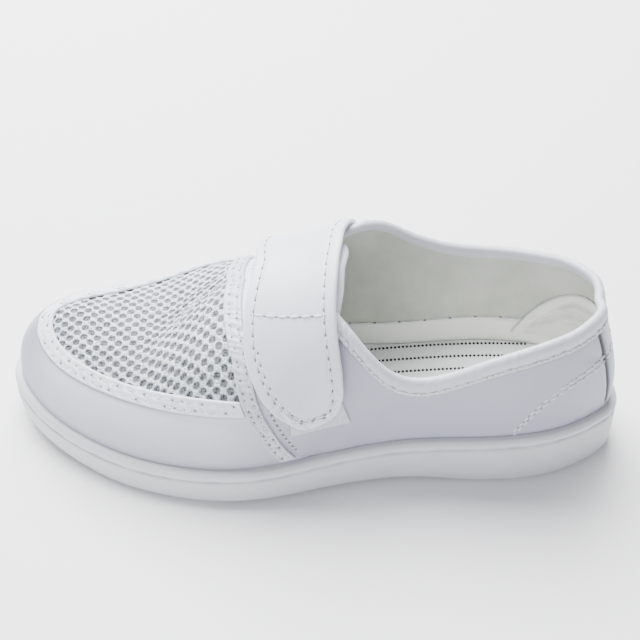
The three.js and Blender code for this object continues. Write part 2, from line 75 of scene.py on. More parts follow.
def add_camera():
    """Right, up and back are the axes of a view at that azimuth and elevation, turned by the roll."""
    sine, cosine = np.sin(VIEW_AZIMUTH), np.cos(VIEW_AZIMUTH)
    flat = np.cos(VIEW_ELEVATION)
    back = np.array([sine * flat, -cosine * flat, np.sin(VIEW_ELEVATION)])
    level = np.array([cosine, sine, 0])
    upright = np.cross(back, level)
    right = level * np.cos(VIEW_ROLL) + upright * np.sin(VIEW_ROLL)
    up = upright * np.cos(VIEW_ROLL) - level * np.sin(VIEW_ROLL)
    data = bpy.data.cameras.new("camera")
    data.sensor_width = SENSOR_WIDTH
    data.lens = SENSOR_WIDTH * FOCAL_PIXELS / PICTURE
    data.shift_x = SHIFT_PIXELS[0] / PICTURE
    data.shift_y = SHIFT_PIXELS[1] / PICTURE
    camera = bpy.data.objects.new("camera", data)
    set_place(camera, right, up, back, VIEW_TARGET + VIEW_DISTANCE * back)
    bpy.context.scene.camera = camera


def add_lamp(name, place, aim, size, power, colour):
    """Square soft lamp that shines from place to aim."""
    data = bpy.data.lights.new(name, "AREA")
    data.size = size
    data.energy = power
    data.color = colour
    back = unit(np.array(place, float) - np.array(aim, float))
    right = unit(np.cross([0, 1, 0], back))
    set_place(bpy.data.objects.new(name, data), right, np.cross(back, right), back, place)


def add_node(tree, kind, values, **settings):
    """New shader node with its input values and its settings."""
    made = tree.nodes.new(kind)
    for name, value in settings.items():
        setattr(made, name, value)
    for name, value in values.items():
        made.inputs[name].default_value = value
    return made


def start_material(name, colour, roughness, coat=0.0, sheen=0.0):
    """Material with one Principled shader. Returns the material, its node tree and the shader."""
    material = bpy.data.materials.new(name)
    material.use_nodes = True
    tree = material.node_tree
    shader = tree.nodes["Principled BSDF"]
    shader.inputs["Base Color"].default_value = (*colour, 1)
    shader.inputs["Roughness"].default_value = roughness
    shader.inputs["Coat Weight"].default_value = coat
    shader.inputs["Sheen Weight"].default_value = sheen
    return material, tree, shader


def add_floor():
    """Plain pale floor, large enough to reach past the picture."""
    bpy.ops.mesh.primitive_plane_add(size=FLOOR_SIZE, location=(0, 0, -FLOOR_DROP))
    floor = bpy.context.object
    floor.name = "floor"
    floor.data.materials.append(start_material("pale_floor", (0.94, 0.94, 0.94), 0.9)[0])


add_camera()
add_floor()
add_lamp("overhead", place=(-0.3, 0.65, 1.2), aim=(0, 0, 0), size=1.2, power=104, colour=(0.98, 0.985, 1))
add_lamp("front", place=(-0.5, -1, 0.5), aim=(-0.03, 0, 0.04), size=0.9, power=6, colour=(0.92, 0.94, 1))
room = bpy.data.worlds.new("bright_room")
room.use_nodes = True
background = room.node_tree.nodes["Background"]
background.inputs["Color"].default_value = ROOM_COLOUR
background.inputs["Strength"].default_value = ROOM_LIGHT
bpy.context.scene.world = room

# Outsole
# The real piece is a cup of off-white moulded foam rubber. It has a rounded lip with a thin
# line under it, a softly bulging side, a rounded lower edge and cross grooves underneath.
low_corner, high_corner = [np.array(corner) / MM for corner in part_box("outsole")]
LENGTH, BALL_WIDTH = (high_corner - low_corner)[:2]
HEEL_RIM = 28
INSTEP_HEIGHT = 119
TOE_SPRING = 8.3
ARCH_LIFT = 1.5
WALL = 1.8
GAP = 0.3
RIM_WIDTH = 3.7
CUP_DEPTH = 7
EDGE_ROUND = 2.4
LIP_HEIGHT = 4.6
LINE_HEIGHT = 1.2
LINE_DEPTH = 1.1
SIDE_BULGE = 0.3
TREAD_PITCH = 11
TREAD_WIDTH = 3
TREAD_DEPTH = 1.8
TREAD_MARGIN = 9
# Zones of the cross grooves as shares of the length behind the middle: heel, then forefoot
TREAD_ZONES = ((0.41, 0.18), (-0.1, -0.41))
SOLE_STEPS = 705
EDGE_STEPS = 7
SIDE_STEPS = 9
LIP_STEPS = 40
CUP_COLUMNS = 9
UNDER_COLUMNS = 81
FOOT_DROP = 1
COLUMNS = """at lateral medial rim topAt topHalf topMid topHeight lean fullLow fullTop crown
    collarLateral collarMedial toeLift archLift""".split()
SECTIONS = np.array([
    [0, -0.054, -0.054, 1, 0.076, 0, 0.029, 0.914, 8.3, 0.37, 0.41, 0, 0.73, 0.73, 0, 0],
    [0.033, -0.348, 0.407, 1.015, 0.074, 0.162, 0, 0.937, 9.7, 0.4, 0.4, 0, 0.72, 0.705, 0, 0],
    [0.112, -0.577, 0.627, 1.024, 0.128, 0.422, 0.01, 0.957, 11.4, 0.415, 0.4, 0, 0.673, 0.641, 0, 0],
    [0.222, -0.665, 0.691, 0.988, 0.223, 0.576, 0.027, 1.002, 13.2, 0.44, 0.395, 0, 0.556, 0.543, 0, 0],
    [0.338, -0.682, 0.663, 0.9, 0.345, 0.297, 0.033, 0.995, 8.7, 0.425, 0.385, 0.4, 0.39, 0.633, 0, 1],
    [0.455, -0.805, 0.682, 0.816, 0.45, 0, 0.06, 0.888, 3.6, 0.39, 0.41, 1, 0.676, 0.846, 0, 1],
    [0.57, -0.973, 0.805, 0.744, 0.545, 0, 0.086, 0.755, 3.6, 0.41, 0.42, 1, 1, 1, 0, 0.8],
    [0.685, -0.982, 0.972, 0.693, 0.641, 0, 0.109, 0.655, 3.9, 0.435, 0.425, 1, 1, 1, 0, 0],
    [0.8, -0.84, 0.979, 0.685, 0.731, 0, 0.096, 0.548, 4.1, 0.463, 0.425, 1, 1, 1, 0, 0],
    [0.903, -0.56, 0.821, 0.726, 0.802, 0, 0.097, 0.512, 4.3, 0.471, 0.43, 1, 1, 1, 0.32, 0],
    [0.97, -0.24, 0.549, 0.803, 0.842, 0, 0.112, 0.503, 4.5, 0.474, 0.43, 1, 1, 1, 0.62, 0],
    [1, 0.136, 0.136, 0.846, 0.853, 0, 0.13, 0.502, 4.5, 0.471, 0.43, 1, 1, 1, 1, 0],
])
STATIONS = len(SECTIONS) - 1
AROUND = 2 * STATIONS
UPPER_INSET = RIM_WIDTH + GAP
THROAT = 6


def ring_of(lateral, medial=None):
    """Values around the shoe: one column's rows out to the toe, the other's back to the heel."""
    there = SECTIONS[:, COLUMNS.index(lateral)]
    back = SECTIONS[:, COLUMNS.index(medial or lateral)]
    return np.concatenate([there, back[1:STATIONS][::-1]])


def smooth_ring(values):
    """Periodic cubic B-spline: its weights w solve (w before + 4 w + w after) / 6 = value."""
    count = len(values)
    one = np.eye(count)
    weights = np.linalg.solve((4 * one + np.roll(one, 1, 0) + np.roll(one, -1, 0)) / 6, values)

    def curve(u):
        i = np.floor(u).astype(int)
        t = u - i
        s = 1 - t
        near = [weights[(i + k) % count] for k in (-1, 0, 1, 2)]
        shares = [s**3, 3 * t**3 - 6 * t**2 + 4, 3 * s**3 - 6 * s**2 + 4, t**3]
        return sum(share * weight for share, weight in zip(shares, near)) / 6
    return curve


def hermite(t, start, end, start_slope, end_slope):
    """Cubic from start to end with these slopes, t from 0 to 1."""
    return ((2 * t**3 - 3 * t**2 + 1) * start + (t**3 - 2 * t**2 + t) * start_slope
            + (3 * t**2 - 2 * t**3) * end + (t**3 - t**2) * end_slope)


def steady_slope(before, after):
    """Harmonic mean of two steps, or 0 where they differ in sign, so that a curve never overshoots."""
    both = before * after
    return np.where(both > 0, 2 * both / np.where(both > 0, before + after, 1), 0)


def steady_ring(values):
    """Periodic cubic through the values that never overshoots them."""
    count = len(values)
    slopes = steady_slope(values - np.roll(values, 1), np.roll(values, -1) - values)

    def curve(u):
        i = np.floor(u).astype(int)
        here, there = i % count, (i + 1) % count
        return hermite(u - i, values[here], values[there], slopes[here], slopes[there])
    return curve


def table_curve(rows, c):
    """Cubic through a table that never overshoots: column 0 is the place, column c the value."""
    table = np.array(rows, float)
    place, value = table[:, 0], table[:, c]
    step = np.diff(value) / np.diff(place)
    slopes = np.concatenate([[step[0]], steady_slope(step[:-1], step[1:]), [step[-1]]])

    def curve(x):
        i = np.clip(np.searchsorted(place, x, side="left") - 1, 0, len(place) - 2)
        span = place[i + 1] - place[i]
        t = np.clip((x - place[i]) / span, 0, 1)
        return hermite(t, value[i], value[i + 1], slopes[i] * span, slopes[i + 1] * span)
    return curve


def mix(a, b, t):
    """Blend from a to b."""
    return a + (b - a) * t


def ease(a, b, x):
    """0 up to a, 1 from b on, with a smooth cubic between."""
    t = np.clip((x - a) / (b - a), 0, 1)
    return t * t * (3 - 2 * t)


outline_x = smooth_ring((0.5 - ring_of("at")) * LENGTH)
outline_y = smooth_ring(ring_of("lateral", "medial") * BALL_WIDTH / 2)
rim_height = smooth_ring(ring_of("rim") * HEEL_RIM)
toe_lift = steady_ring(ring_of("toeLift") * TOE_SPRING)
arch_lift = steady_ring(ring_of("archLift") * ARCH_LIFT)
top_x = smooth_ring((0.5 - ring_of("topAt")) * LENGTH)
top_half = steady_ring(ring_of("topHalf") * BALL_WIDTH / 2)
top_mid = smooth_ring(ring_of("topMid") * BALL_WIDTH / 2)
top_z = smooth_ring(ring_of("topHeight") * INSTEP_HEIGHT)
lean_angle = smooth_ring(np.radians(ring_of("lean")))
full_low = smooth_ring(ring_of("fullLow"))
full_top = smooth_ring(ring_of("fullTop"))
crown = steady_ring(ring_of("crown"))
collar_lateral = smooth_ring(ring_of("collarLateral"))
collar_medial = smooth_ring(ring_of("collarMedial"))


def is_lateral(u):
    """True on the outer half of the way around the shoe."""
    return np.mod(u, AROUND) <= STATIONS


def station_of(u):
    """Station from 0 at the heel to 11 at the toe, on either side."""
    return np.where(is_lateral(u), np.mod(u, AROUND), AROUND - np.mod(u, AROUND))


def collar_at(u):
    """Share of the full wall that the upper has: 1 in front of the throat, less at the collar."""
    edge = np.where(is_lateral(u), collar_lateral(u), collar_medial(u))
    return np.where(station_of(u) >= THROAT, 1, np.minimum(1, edge))


def sole_floor(u):
    """Height of the sole's underside: toe spring and arch."""
    return toe_lift(u) + arch_lift(u)


def cup_floor(u):
    """Height of the floor of the sole's cup."""
    return rim_height(u) - CUP_DEPTH


def outline(u, inset, z):
    """Point of the sole's outline, moved inward by inset, at height z."""
    h = 0.001
    tangent = unit(np.stack([outline_x(u + h) - outline_x(u - h), outline_y(u + h) - outline_y(u - h)], -1))
    x = outline_x(u) + tangent[..., 1] * inset
    y = outline_y(u) - tangent[..., 0] * inset
    return np.stack(np.broadcast_arrays(x, y, z), -1)


def ridge_slope(u):
    """Rise of the ridge line for a millimetre towards the heel."""
    k = np.clip(station_of(u), 0.25, STATIONS - 0.25)
    h = 0.1
    return (top_z(k + h) - top_z(k - h)) / (top_x(k + h) - top_x(k - h))


def form(u, v):
    """Outside of the upper: cubic arc from the sole (v = 0) to the top line (v = 1). It leaves the
    sole along the leaning wall and reaches the top along the slope of the foot's ridge."""
    u = np.asarray(u, float)
    v = np.asarray(v, float)[..., None]
    foot = outline(u, UPPER_INSET, rim_height(u) - FOOT_DROP)
    side = np.where(is_lateral(u), -1, 1)
    top = np.stack([top_x(u), top_mid(u) + side * top_half(u), top_z(u)], -1)
    chord = np.linalg.norm(top - foot, axis=-1)[..., None]
    inward = unit((top - foot)[..., :2])
    lean = lean_angle(u)[..., None]
    rise = np.concatenate([-inward * np.sin(lean), np.cos(lean)], -1)
    over = unit(np.concatenate([inward, (ridge_slope(u) * inward[..., 0])[..., None]], -1))
    steep = unit(np.concatenate([0.12 * inward, np.ones_like(lean)], -1))
    share = crown(u)[..., None]
    finish = unit(share * over + (1 - share) * steep)
    low = foot + full_low(u)[..., None] * chord * rise
    high = top - full_top(u)[..., None] * chord * finish
    w = 1 - v
    return w**3 * foot + 3 * w * w * v * low + 3 * w * v * v * high + v**3 * top


def wall_frame(u, v):
    """Directions up along the wall and out of it. Near the ridge the outward one turns smoothly
    into the ridge's own normal, so that both sides meet."""
    h = 0.002
    u, v = np.broadcast_arrays(np.asarray(u, float), np.asarray(v, float))
    around = form(u + h, v) - form(u - h, v)
    up = unit(form(u, v + h) - form(u, v - h))
    slope = ridge_slope(u)
    over_ridge = unit(np.stack([-slope, np.zeros_like(slope), np.ones_like(slope)], -1))
    near = (ease(0.93, 0.997, v) * ease(0.9, 1, crown(u)))[..., None]
    return up, unit(mix(unit(np.cross(up, around)), over_ridge, near))


def skin(u, v, distance):
    """Point at a distance outside the upper's outer face, or inside it where that is below 0."""
    u, v = np.broadcast_arrays(np.asarray(u, float), np.asarray(v, float))
    past = (v >= 1) & ~is_lateral(u) & (crown(u) > 0.999)
    u = np.where(past, AROUND - np.mod(u, AROUND), u)
    out = wall_frame(u, v)[1]
    return form(u, v) + out * np.broadcast_to(distance, u.shape)[..., None]


def across(station, height, distance):
    """The same for a station and a height that runs 0 to 1 to 2 over the ridge to the medial sole."""
    station, height = np.broadcast_arrays(station, height)
    u = np.where(height <= 1, station, AROUND - station)
    return skin(u, np.where(height <= 1, height, 2 - height), distance)


def quads_of(shape, first):
    """Corner numbers of the quads in a stack of point grids: the last two axes are each grid's."""
    index = first + np.arange(int(np.prod(shape))).reshape(shape)
    corners = [index[..., :-1, :-1], index[..., 1:, :-1], index[..., 1:, 1:], index[..., :-1, 1:]]
    return np.stack(corners, -1).reshape(-1, 4)


def add_piece(name, grids, materials, replaced=(), fields=(), second=()):
    """Closed mesh from grids of points in millimetres. Channels after x, y and z become the named
    point fields. Coinciding points are merged, faces turned outwards, and the grids whose number
    is in second take the second material."""
    rows = np.concatenate([grid.reshape(-1, grid.shape[-1]) for grid in grids])
    first = np.concatenate([[0], np.cumsum([grid[..., 0].size for grid in grids])])
    quads = [quads_of(grid.shape[:-1], start) for grid, start in zip(grids, first)]
    slots = np.concatenate([np.full(len(q), int(i in second)) for i, q in enumerate(quads)])
    corners = np.concatenate(quads)
    mesh = bpy.data.meshes.new(name)
    mesh.vertices.add(len(rows))
    mesh.vertices.foreach_set("co", (rows[:, :3] * MM).ravel())
    mesh.loops.add(corners.size)
    mesh.loops.foreach_set("vertex_index", corners.ravel())
    mesh.polygons.add(len(corners))
    mesh.polygons.foreach_set("loop_start", np.arange(0, corners.size, 4))
    mesh.polygons.foreach_set("material_index", slots)
    for channel, field in enumerate(fields):
        layer = mesh.attributes.new(field, "FLOAT", "POINT")
        layer.data.foreach_set("value", rows[:, 3 + channel])
    mesh.update(calc_edges=True)
    shaped = bmesh.new()
    shaped.from_mesh(mesh)
    bmesh.ops.remove_doubles(shaped, verts=shaped.verts, dist=2e-6)
    bmesh.ops.recalc_face_normals(shaped, faces=shaped.faces)
    shaped.to_mesh(mesh)
    shaped.free()
    mesh.shade_smooth()
    for material in materials:
        mesh.materials.append(material)
    piece = bpy.data.objects.new(name, mesh)
    bpy.context.collection.objects.link(piece)
    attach(piece, "root")
    if replaced:
        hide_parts(*replaced)
    return piece


def smooth_line(points, count):
    """Evenly counted points on the Catmull-Rom curve through a list of points."""
    given = np.array(points, float)
    slopes = np.gradient(given, axis=0)
    at = np.linspace(0, len(given) - 1, count)
    i = np.minimum(at.astype(int), len(given) - 2)
    return hermite((at - i)[:, None], given[i], given[i + 1], slopes[i], slopes[i + 1])


def join_shader(tree, shader, colour, bumps):
    """Join a colour socket to the shader, and bumps one after the other: each is a height socket,
    a strength and a depth in metres."""
    tree.links.new(colour, shader.inputs["Base Color"])
    before = None
    for height, strength, depth in bumps:
        bump = add_node(tree, "ShaderNodeBump", {"Strength": strength, "Distance": depth})
        tree.links.new(height, bump.inputs["Height"])
        if before:
            tree.links.new(before.outputs["Normal"], bump.inputs["Normal"])
        before = bump
    tree.links.new(before.outputs["Normal"], shader.inputs["Normal"])


def object_texture(tree, kind, values, **settings):
    """Node that works on the object's own coordinates, in metres."""
    place = tree.nodes.new("ShaderNodeTexCoord")
    texture = add_node(tree, kind, values, **settings)
    tree.links.new(place.outputs["Object"], texture.inputs["Vector"])
    return texture


def object_noise(tree, scale, detail=3.0, roughness=0.5):
    """Noise on the object's own coordinates; scale counts its waves in a metre."""
    values = {"Scale": scale, "Detail": detail, "Roughness": roughness}
    return object_texture(tree, "ShaderNodeTexNoise", values).outputs["Fac"]


def two_tones(tree, factor, first, second):
    """Colour socket that goes from the first tone to the second with factor."""
    blend = tree.nodes.new("ShaderNodeMix")
    blend.data_type = "RGBA"
    tree.links.new(factor, blend.inputs[0])
    for socket, tone in ((blend.inputs[6], first), (blend.inputs[7], second)):
        if isinstance(tone, tuple):
            socket.default_value = (*tone, 1)
        else:
            tree.links.new(tone, socket)
    return blend.outputs[2]


def remapped(tree, value, low, high, low_to=0.0, high_to=1.0):
    """Value between low and high, brought to another range and held at its ends."""
    ramp = add_node(tree, "ShaderNodeMapRange", {
        "From Min": low, "From Max": high, "To Min": low_to, "To Max": high_to,
    })
    tree.links.new(value, ramp.inputs["Value"])
    return ramp.outputs["Result"]


def sole_foam():
    """Off-white foam rubber: faint clouds of tone, fine moulded skin, half matt."""
    material, tree, shader = start_material("sole_foam", (0.66, 0.67, 0.69), 0.5)
    tone = two_tones(tree, object_noise(tree, 30, 4), (0.63, 0.64, 0.66), (0.69, 0.7, 0.72))
    grain = object_noise(tree, 2200, 2)
    tree.links.new(remapped(tree, grain, 0.3, 0.7, 0.44, 0.58), shader.inputs["Roughness"])
    join_shader(tree, shader, tone, [(grain, 0.25, 0.00012), (object_noise(tree, 140, 2), 0.2, 0.0004)])
    return material


def outsole_grids():
    """Side: a profile of heights and insets carried around the outline, in which the line under the
    lip varies in depth. Underside: strips from the lateral to the medial point of each station,
    pressed in where a cross groove runs."""
    around = np.linspace(0, AROUND, SOLE_STEPS)[:, None]
    foot = sole_floor(around)
    turn = np.linspace(0, np.pi / 2, EDGE_STEPS)[None, :]
    edge = outline(around, EDGE_ROUND * (1 - np.sin(turn)), foot + EDGE_ROUND * (1 - np.cos(turn)))
    share = np.linspace(0, 1, SIDE_STEPS)[None, :]
    line_foot = rim_height(around) - LIP_HEIGHT - LINE_HEIGHT
    side_z = mix(foot + EDGE_ROUND, line_foot, share)
    side = outline(around, -SIDE_BULGE * np.sin(np.pi * share), side_z)
    lip = smooth_line([
        (LIP_HEIGHT + LINE_HEIGHT, 0),
        (LIP_HEIGHT + 0.7 * LINE_HEIGHT, 0.55 * LINE_DEPTH),
        (LIP_HEIGHT + 0.35 * LINE_HEIGHT, LINE_DEPTH),
        (LIP_HEIGHT, 0.55 * LINE_DEPTH),
        (0.8 * LIP_HEIGHT, 0.02 * RIM_WIDTH),
        (0.5 * LIP_HEIGHT, -0.03 * RIM_WIDTH),
        (0.24 * LIP_HEIGHT, 0.13 * RIM_WIDTH),
        (0.06 * LIP_HEIGHT, 0.36 * RIM_WIDTH),
        (0, 0.7 * RIM_WIDTH),
        (0.01 * LIP_HEIGHT, 0.95 * RIM_WIDTH),
        (0.1 * LIP_HEIGHT, RIM_WIDTH),
        (CUP_DEPTH, RIM_WIDTH),
    ], LIP_STEPS)
    uneven = 0.62 + 0.3 * np.sin(13 * around) * np.sin(5.3 * around + 1)
    in_line = (lip[:, 0] > 0.85 * LIP_HEIGHT) & (lip[:, 1] < LINE_DEPTH + 0.1)
    lip_inset = lip[None, :, 1] * np.where(in_line, uneven, 1)
    lip_wall = outline(around, lip_inset, rim_height(around) - lip[None, :, 0])
    cup = strips(RIM_WIDTH, cup_floor, SOLE_STEPS, CUP_COLUMNS)
    under = strips(EDGE_ROUND, sole_floor, SOLE_STEPS, UNDER_COLUMNS)
    under[..., 2] += TREAD_DEPTH * tread(under)
    return [edge, side, lip_wall, cup, under]


def strips(inset, height, steps, columns):
    """Grid from the lateral to the medial point of each station, at a height that varies along."""
    u = np.linspace(0, AROUND, steps)[: steps // 2 + 1, None]
    lateral = outline(u, inset, height(u))
    medial = outline(AROUND - u, inset, height(u))
    return mix(lateral, medial, np.linspace(0, 1, columns)[None, :, None])


def tread(points):
    """1 in a cross groove, 0 beside it. Grooves stand a pitch apart in the heel and forefoot zones
    and stop at the uncut margin."""
    x = mix(points[:, :1, 0], points[:, -1:, 0], 0.5)
    width = np.linalg.norm(points[:, -1:] - points[:, :1], axis=-1)
    from_side = np.linspace(0, 1, points.shape[1])[None, :] * width
    inside = np.minimum(from_side, width - from_side) + EDGE_ROUND
    depth = np.zeros(points.shape[:2])
    for start, end in TREAD_ZONES:
        count = int((start - end) * LENGTH / TREAD_PITCH)
        nearest = np.clip(np.round((start * LENGTH - x) / TREAD_PITCH), 0, count)
        beside = np.abs(start * LENGTH - nearest * TREAD_PITCH - x)
        depth = np.maximum(depth, 1 - ease(TREAD_WIDTH / 2 - 0.5, TREAD_WIDTH / 2 + 0.3, beside))
    return depth * ease(TREAD_MARGIN - 0.4, TREAD_MARGIN + 0.4, inside)


add_piece("outsole_foam", outsole_grids(), [sole_foam()], ["outsole"])

# Insole
# A thin board lies in the cup, covered with white twill. Rows of dark conductive thread run
# lengthwise through the cloth as short raised stitches.
INSOLE_THICK = 3.5
INSOLE_INSET = UPPER_INSET + WALL + GAP
TWILL_PITCH = 1.15
THREAD_ROWS = 11
THREAD_FIRST_ROW = 37.7
THREAD_ROW_PITCH = 8.3
THREAD_PITCH = 1.9
THREAD_BOW_CENTRE = 85
THREAD_BOW_RADIUS = 580
THREAD_STRAIGHT = 75
THREAD_FROM, THREAD_TO = -118, 128
THREAD_MARGIN = 1.2
# Half length, half breadth and height of one stitch
THREAD_SIZE = (0.76, 0.84, 0.32)
INSOLE_STEPS = 441
TOP_COLUMNS = 41
BASE_COLUMNS = 5
PROFILE_STEPS = 14


def wave_scale(pitch):
    """Scale of a wave texture whose ribs stand a pitch in millimetres apart."""
    return 2 * np.pi / (20 * pitch * MM)


def twill_cloth():
    """White twill: diagonal ribs a pitch apart with a fine cross thread and slight unevenness."""
    material, tree, shader = start_material("insole_twill", (0.82, 0.83, 0.83), 0.85, sheen=0.15)
    ribs = []
    for turn, pitch in ((40, TWILL_PITCH), (-52, 0.6 * TWILL_PITCH)):
        turned = object_texture(tree, "ShaderNodeMapping", {"Rotation": (0, 0, np.radians(turn))})
        values = {"Scale": wave_scale(pitch), "Distortion": 0.6, "Detail": 1.0}
        wave = add_node(tree, "ShaderNodeTexWave", values)
        tree.links.new(turned.outputs["Vector"], wave.inputs["Vector"])
        ribs.append(wave.outputs["Fac"])
    tone = two_tones(tree, ribs[0], (0.76, 0.77, 0.775), (0.94, 0.945, 0.95))
    join_shader(tree, shader, tone, [(ribs[0], 0.5, 0.0002), (ribs[1], 0.25, 0.0001)])
    return material


def insole_floor(u):
    """Height on which the insole and the upper's foot stand, a gap over the cup's floor."""
    return cup_floor(u) + GAP


def insole_face(u):
    """Height of the insole's upper face."""
    return insole_floor(u) + INSOLE_THICK


def insole_grids():
    """Side rings around the insole's outline, closed by strips above and below."""
    around = np.linspace(0, AROUND, INSOLE_STEPS)[:, None]
    profile = smooth_line([(0, 0), (0.5, -0.05), (0.85, 0), (0.97, 0.12), (1, 0.3)], PROFILE_STEPS)
    rise, inset = (profile * INSOLE_THICK).T[:, None]
    side = outline(around, INSOLE_INSET + inset, insole_floor(around) + rise)
    top = strips(INSOLE_INSET + 0.3 * INSOLE_THICK, insole_face, INSOLE_STEPS, TOP_COLUMNS)
    base = strips(INSOLE_INSET, insole_floor, INSOLE_STEPS, BASE_COLUMNS)
    return [side, top, base]


def where_sole_passes(x, curve):
    """Value of a curve at the lateral station whose sole outline passes at x."""
    u = np.linspace(0, STATIONS, 221)
    return np.interp(-x, -outline_x(u), curve(u))


def thread_dots():
    """Small rounded bars on the insole: each is a grid of rings around its long axis. Their rows
    are arcs over the heel half, x squared over twice a radius, and run on straight in front."""
    x, row = np.meshgrid(np.arange(THREAD_FROM, THREAD_TO, THREAD_PITCH), np.arange(THREAD_ROWS))
    x, row = x.ravel(), row.ravel()
    ahead = THREAD_BOW_CENTRE - x
    arc = np.minimum(ahead, THREAD_STRAIGHT)
    bow = (arc**2 + 2 * THREAD_STRAIGHT * (ahead - arc)) / (2 * THREAD_BOW_RADIUS)
    y = THREAD_FIRST_ROW - row * THREAD_ROW_PITCH - bow
    station = where_sole_passes(x, lambda u: u)
    edge = INSOLE_INSET + THREAD_MARGIN
    inside = (y > outline(station, edge, 0)[:, 1]) & (y < outline(AROUND - station, edge, 0)[:, 1])
    x, y = [values[inside][:, None, None] for values in (x, y)]
    ring = np.linspace(0, 2 * np.pi, 7)[None, None, :]
    along = np.linspace(-1, 1, 5)[None, :, None]
    round_end = np.sqrt(np.clip(1 - along**2, 0, 1)) ** 0.7
    half_length, half_breadth, rise = THREAD_SIZE
    return np.stack(np.broadcast_arrays(
        x + half_length * along,
        y + half_breadth * round_end * np.cos(ring),
        where_sole_passes(x, insole_face) + 0.05 + rise * round_end * np.sin(ring),
    ), -1)


def dark_thread():
    """Carbon thread: nearly black, dull, with fine fibres."""
    material, tree, shader = start_material("conductive_thread", (0.03, 0.03, 0.035), 0.6)
    fibres = object_noise(tree, 3000, 2)
    tone = two_tones(tree, fibres, (0.006, 0.006, 0.008), (0.03, 0.03, 0.034))
    join_shader(tree, shader, tone, [(fibres, 0.3, 0.0001)])
    return material


add_piece("insole_twill", insole_grids(), [twill_cloth()], ["insole"])
add_piece("insole_thread", [thread_dots()], [dark_thread()])

# Upper
# One wall from the cup of the sole to the collar: white coated leather outside, cotton lining
# inside. The mesh lies in a shallow window over the toes, and the heel has an open back seam.
MESH_EDGES = [
    # station around the toe, wall height at the mesh's edge, wall height at the tape's outer edge
    [6.2, 0.38, 0.305], [7, 0.42, 0.33], [8, 0.485, 0.385], [9, 0.55, 0.43], [10, 0.645, 0.5],
    [11, 0.73, 0.585], [12, 0.77, 0.65], [13, 0.77, 0.66], [14, 0.7, 0.61], [15, 0.66, 0.58],
    [15.6, 0.65, 0.57],
]
BAND_EDGES = [
    # height, front station, rear station
    [0, 5.64, 5.42], [0.1, 5.83, 5.62], [0.2, 5.99, 5.78], [0.3, 6.16, 5.93], [0.4, 6.29, 6.05],
    [0.6, 6.48, 6.22], [0.8, 6.73, 6.45], [1.0, 6.88, 6.58], [1.2, 6.68, 6.42], [1.4, 6.5, 6.26],
    [1.7, 6.16, 5.93], [2.0, 5.72, 5.5],
]
mesh_inner = table_curve(MESH_EDGES, 1)
tape_outer = table_curve(MESH_EDGES, 2)
band_front = table_curve(BAND_EDGES, 1)
band_rear = table_curve(BAND_EDGES, 2)
WINDOW_DEPTH = 0.7
# Millimetres that one station takes at the heel
HEEL_STATION = 17
SEAM_FOOT = 0.62
SEAM_SLANT = 0.85
SEAM_WIDTH = 1.55
SEAM_DEPTH = 1.5
TURNED_EDGE = 0.3
FOOT_BULGE = 0.27
BINDING_WIDTH = 8
LINING_SAG = 0.25
LINING_PITCH = 0.75
# Pale tone of the painted light on the toe's leather
PAINTED_LIGHT_TONE = (0.83, 0.84, 0.88)
# Near black tone of painted shade: the dark gap of the open back seam and the shade lines along the
# leather's edges
PAINTED_SHADE_TONE = (0.025, 0.025, 0.03)
# Spans around the shoe with their count of steps, close together at the back seam
UPPER_SPANS = ((0, 0.5, 10), (0.5, 1.25, 60), (1.25, STATIONS, 188), (STATIONS, AROUND, 212))
OUTER_ROWS = 128
INNER_ROWS = 48
# Creases of the leather: stations around the shoe and wall heights of the points that each one
# passes, then its depth and width in millimetres.
LEATHER_CREASES = [
    ([(4.6, 0.06), (4.3, 0.16), (3.9, 0.24)], 0.5, 5),
    ([(5.25, 0.02), (5.0, 0.09), (4.6, 0.13)], 0.4, 3.5),
    ([(3.1, 0.1), (2.7, 0.3), (2.3, 0.42)], 0.35, 6),
    ([(1.5, 0.5), (1.1, 0.43), (0.6, 0.42)], 0.3, 3),
    ([(20.4, 0.5), (21, 0.42), (21.6, 0.4)], 0.35, 3),
    ([(17.6, 0.55), (18.1, 0.4), (18.4, 0.22)], 0.5, 5),
    ([(17.1, 0.1), (17.6, 0.2), (18.3, 0.24)], 0.45, 4),
    ([(16.9, 0.4), (17.2, 0.28), (17.3, 0.12)], 0.4, 4),
    ([(7.4, 0.12), (8.2, 0.2), (8.9, 0.2)], 0.25, 6),
    ([(14.4, 0.2), (15, 0.32), (15.5, 0.4)], 0.35, 5),
]


def distance_to(points, line):
    """Distance from each point to a polyline: the least over its segments."""
    nearest = np.full(points.shape[:-1], 1e6)
    for start, end in zip(line[:-1], line[1:]):
        along = end - start
        share = np.clip(((points - start) @ along) / (along @ along), 0, 1)
        nearest = np.minimum(nearest, np.linalg.norm(points - start - share[..., None] * along, axis=-1))
    return nearest


def creased(points, creases, surface):
    """Height of the creases, added up. Each is a trough, a bell of the distance to its line, with a
    swell half as high around it. A crease is a list of places, a depth and a width."""
    total = np.zeros(points.shape[:-1])
    for places, depth, width in creases:
        at = smooth_line(places, 12)
        away = distance_to(points, surface(at[:, 0], at[:, 1]))
        total += -depth * np.exp(-(away / width) ** 2) + 0.5 * depth * np.exp(-((away / width - 1.7) ** 2))
    return total


def tape_middle(u):
    """Wall height of the middle of the tape around the mesh."""
    return (mesh_inner(u) + tape_outer(u)) / 2


def band_middle(height):
    """Station of the middle of the throat band."""
    return (band_front(height) + band_rear(height)) / 2


def window(u, v):
    """1 inside the mesh window, 0 outside, with a short smooth step under the tape and band."""
    above = ease(0, 0.03, v - tape_middle(u))
    return above * ease(0, 0.06, station_of(u) - band_middle(np.where(is_lateral(u), v, 2 - v)))


def is_open(u):
    """True where the wall ends at the collar, before it meets the other side."""
    return collar_at(u) < 0.9999


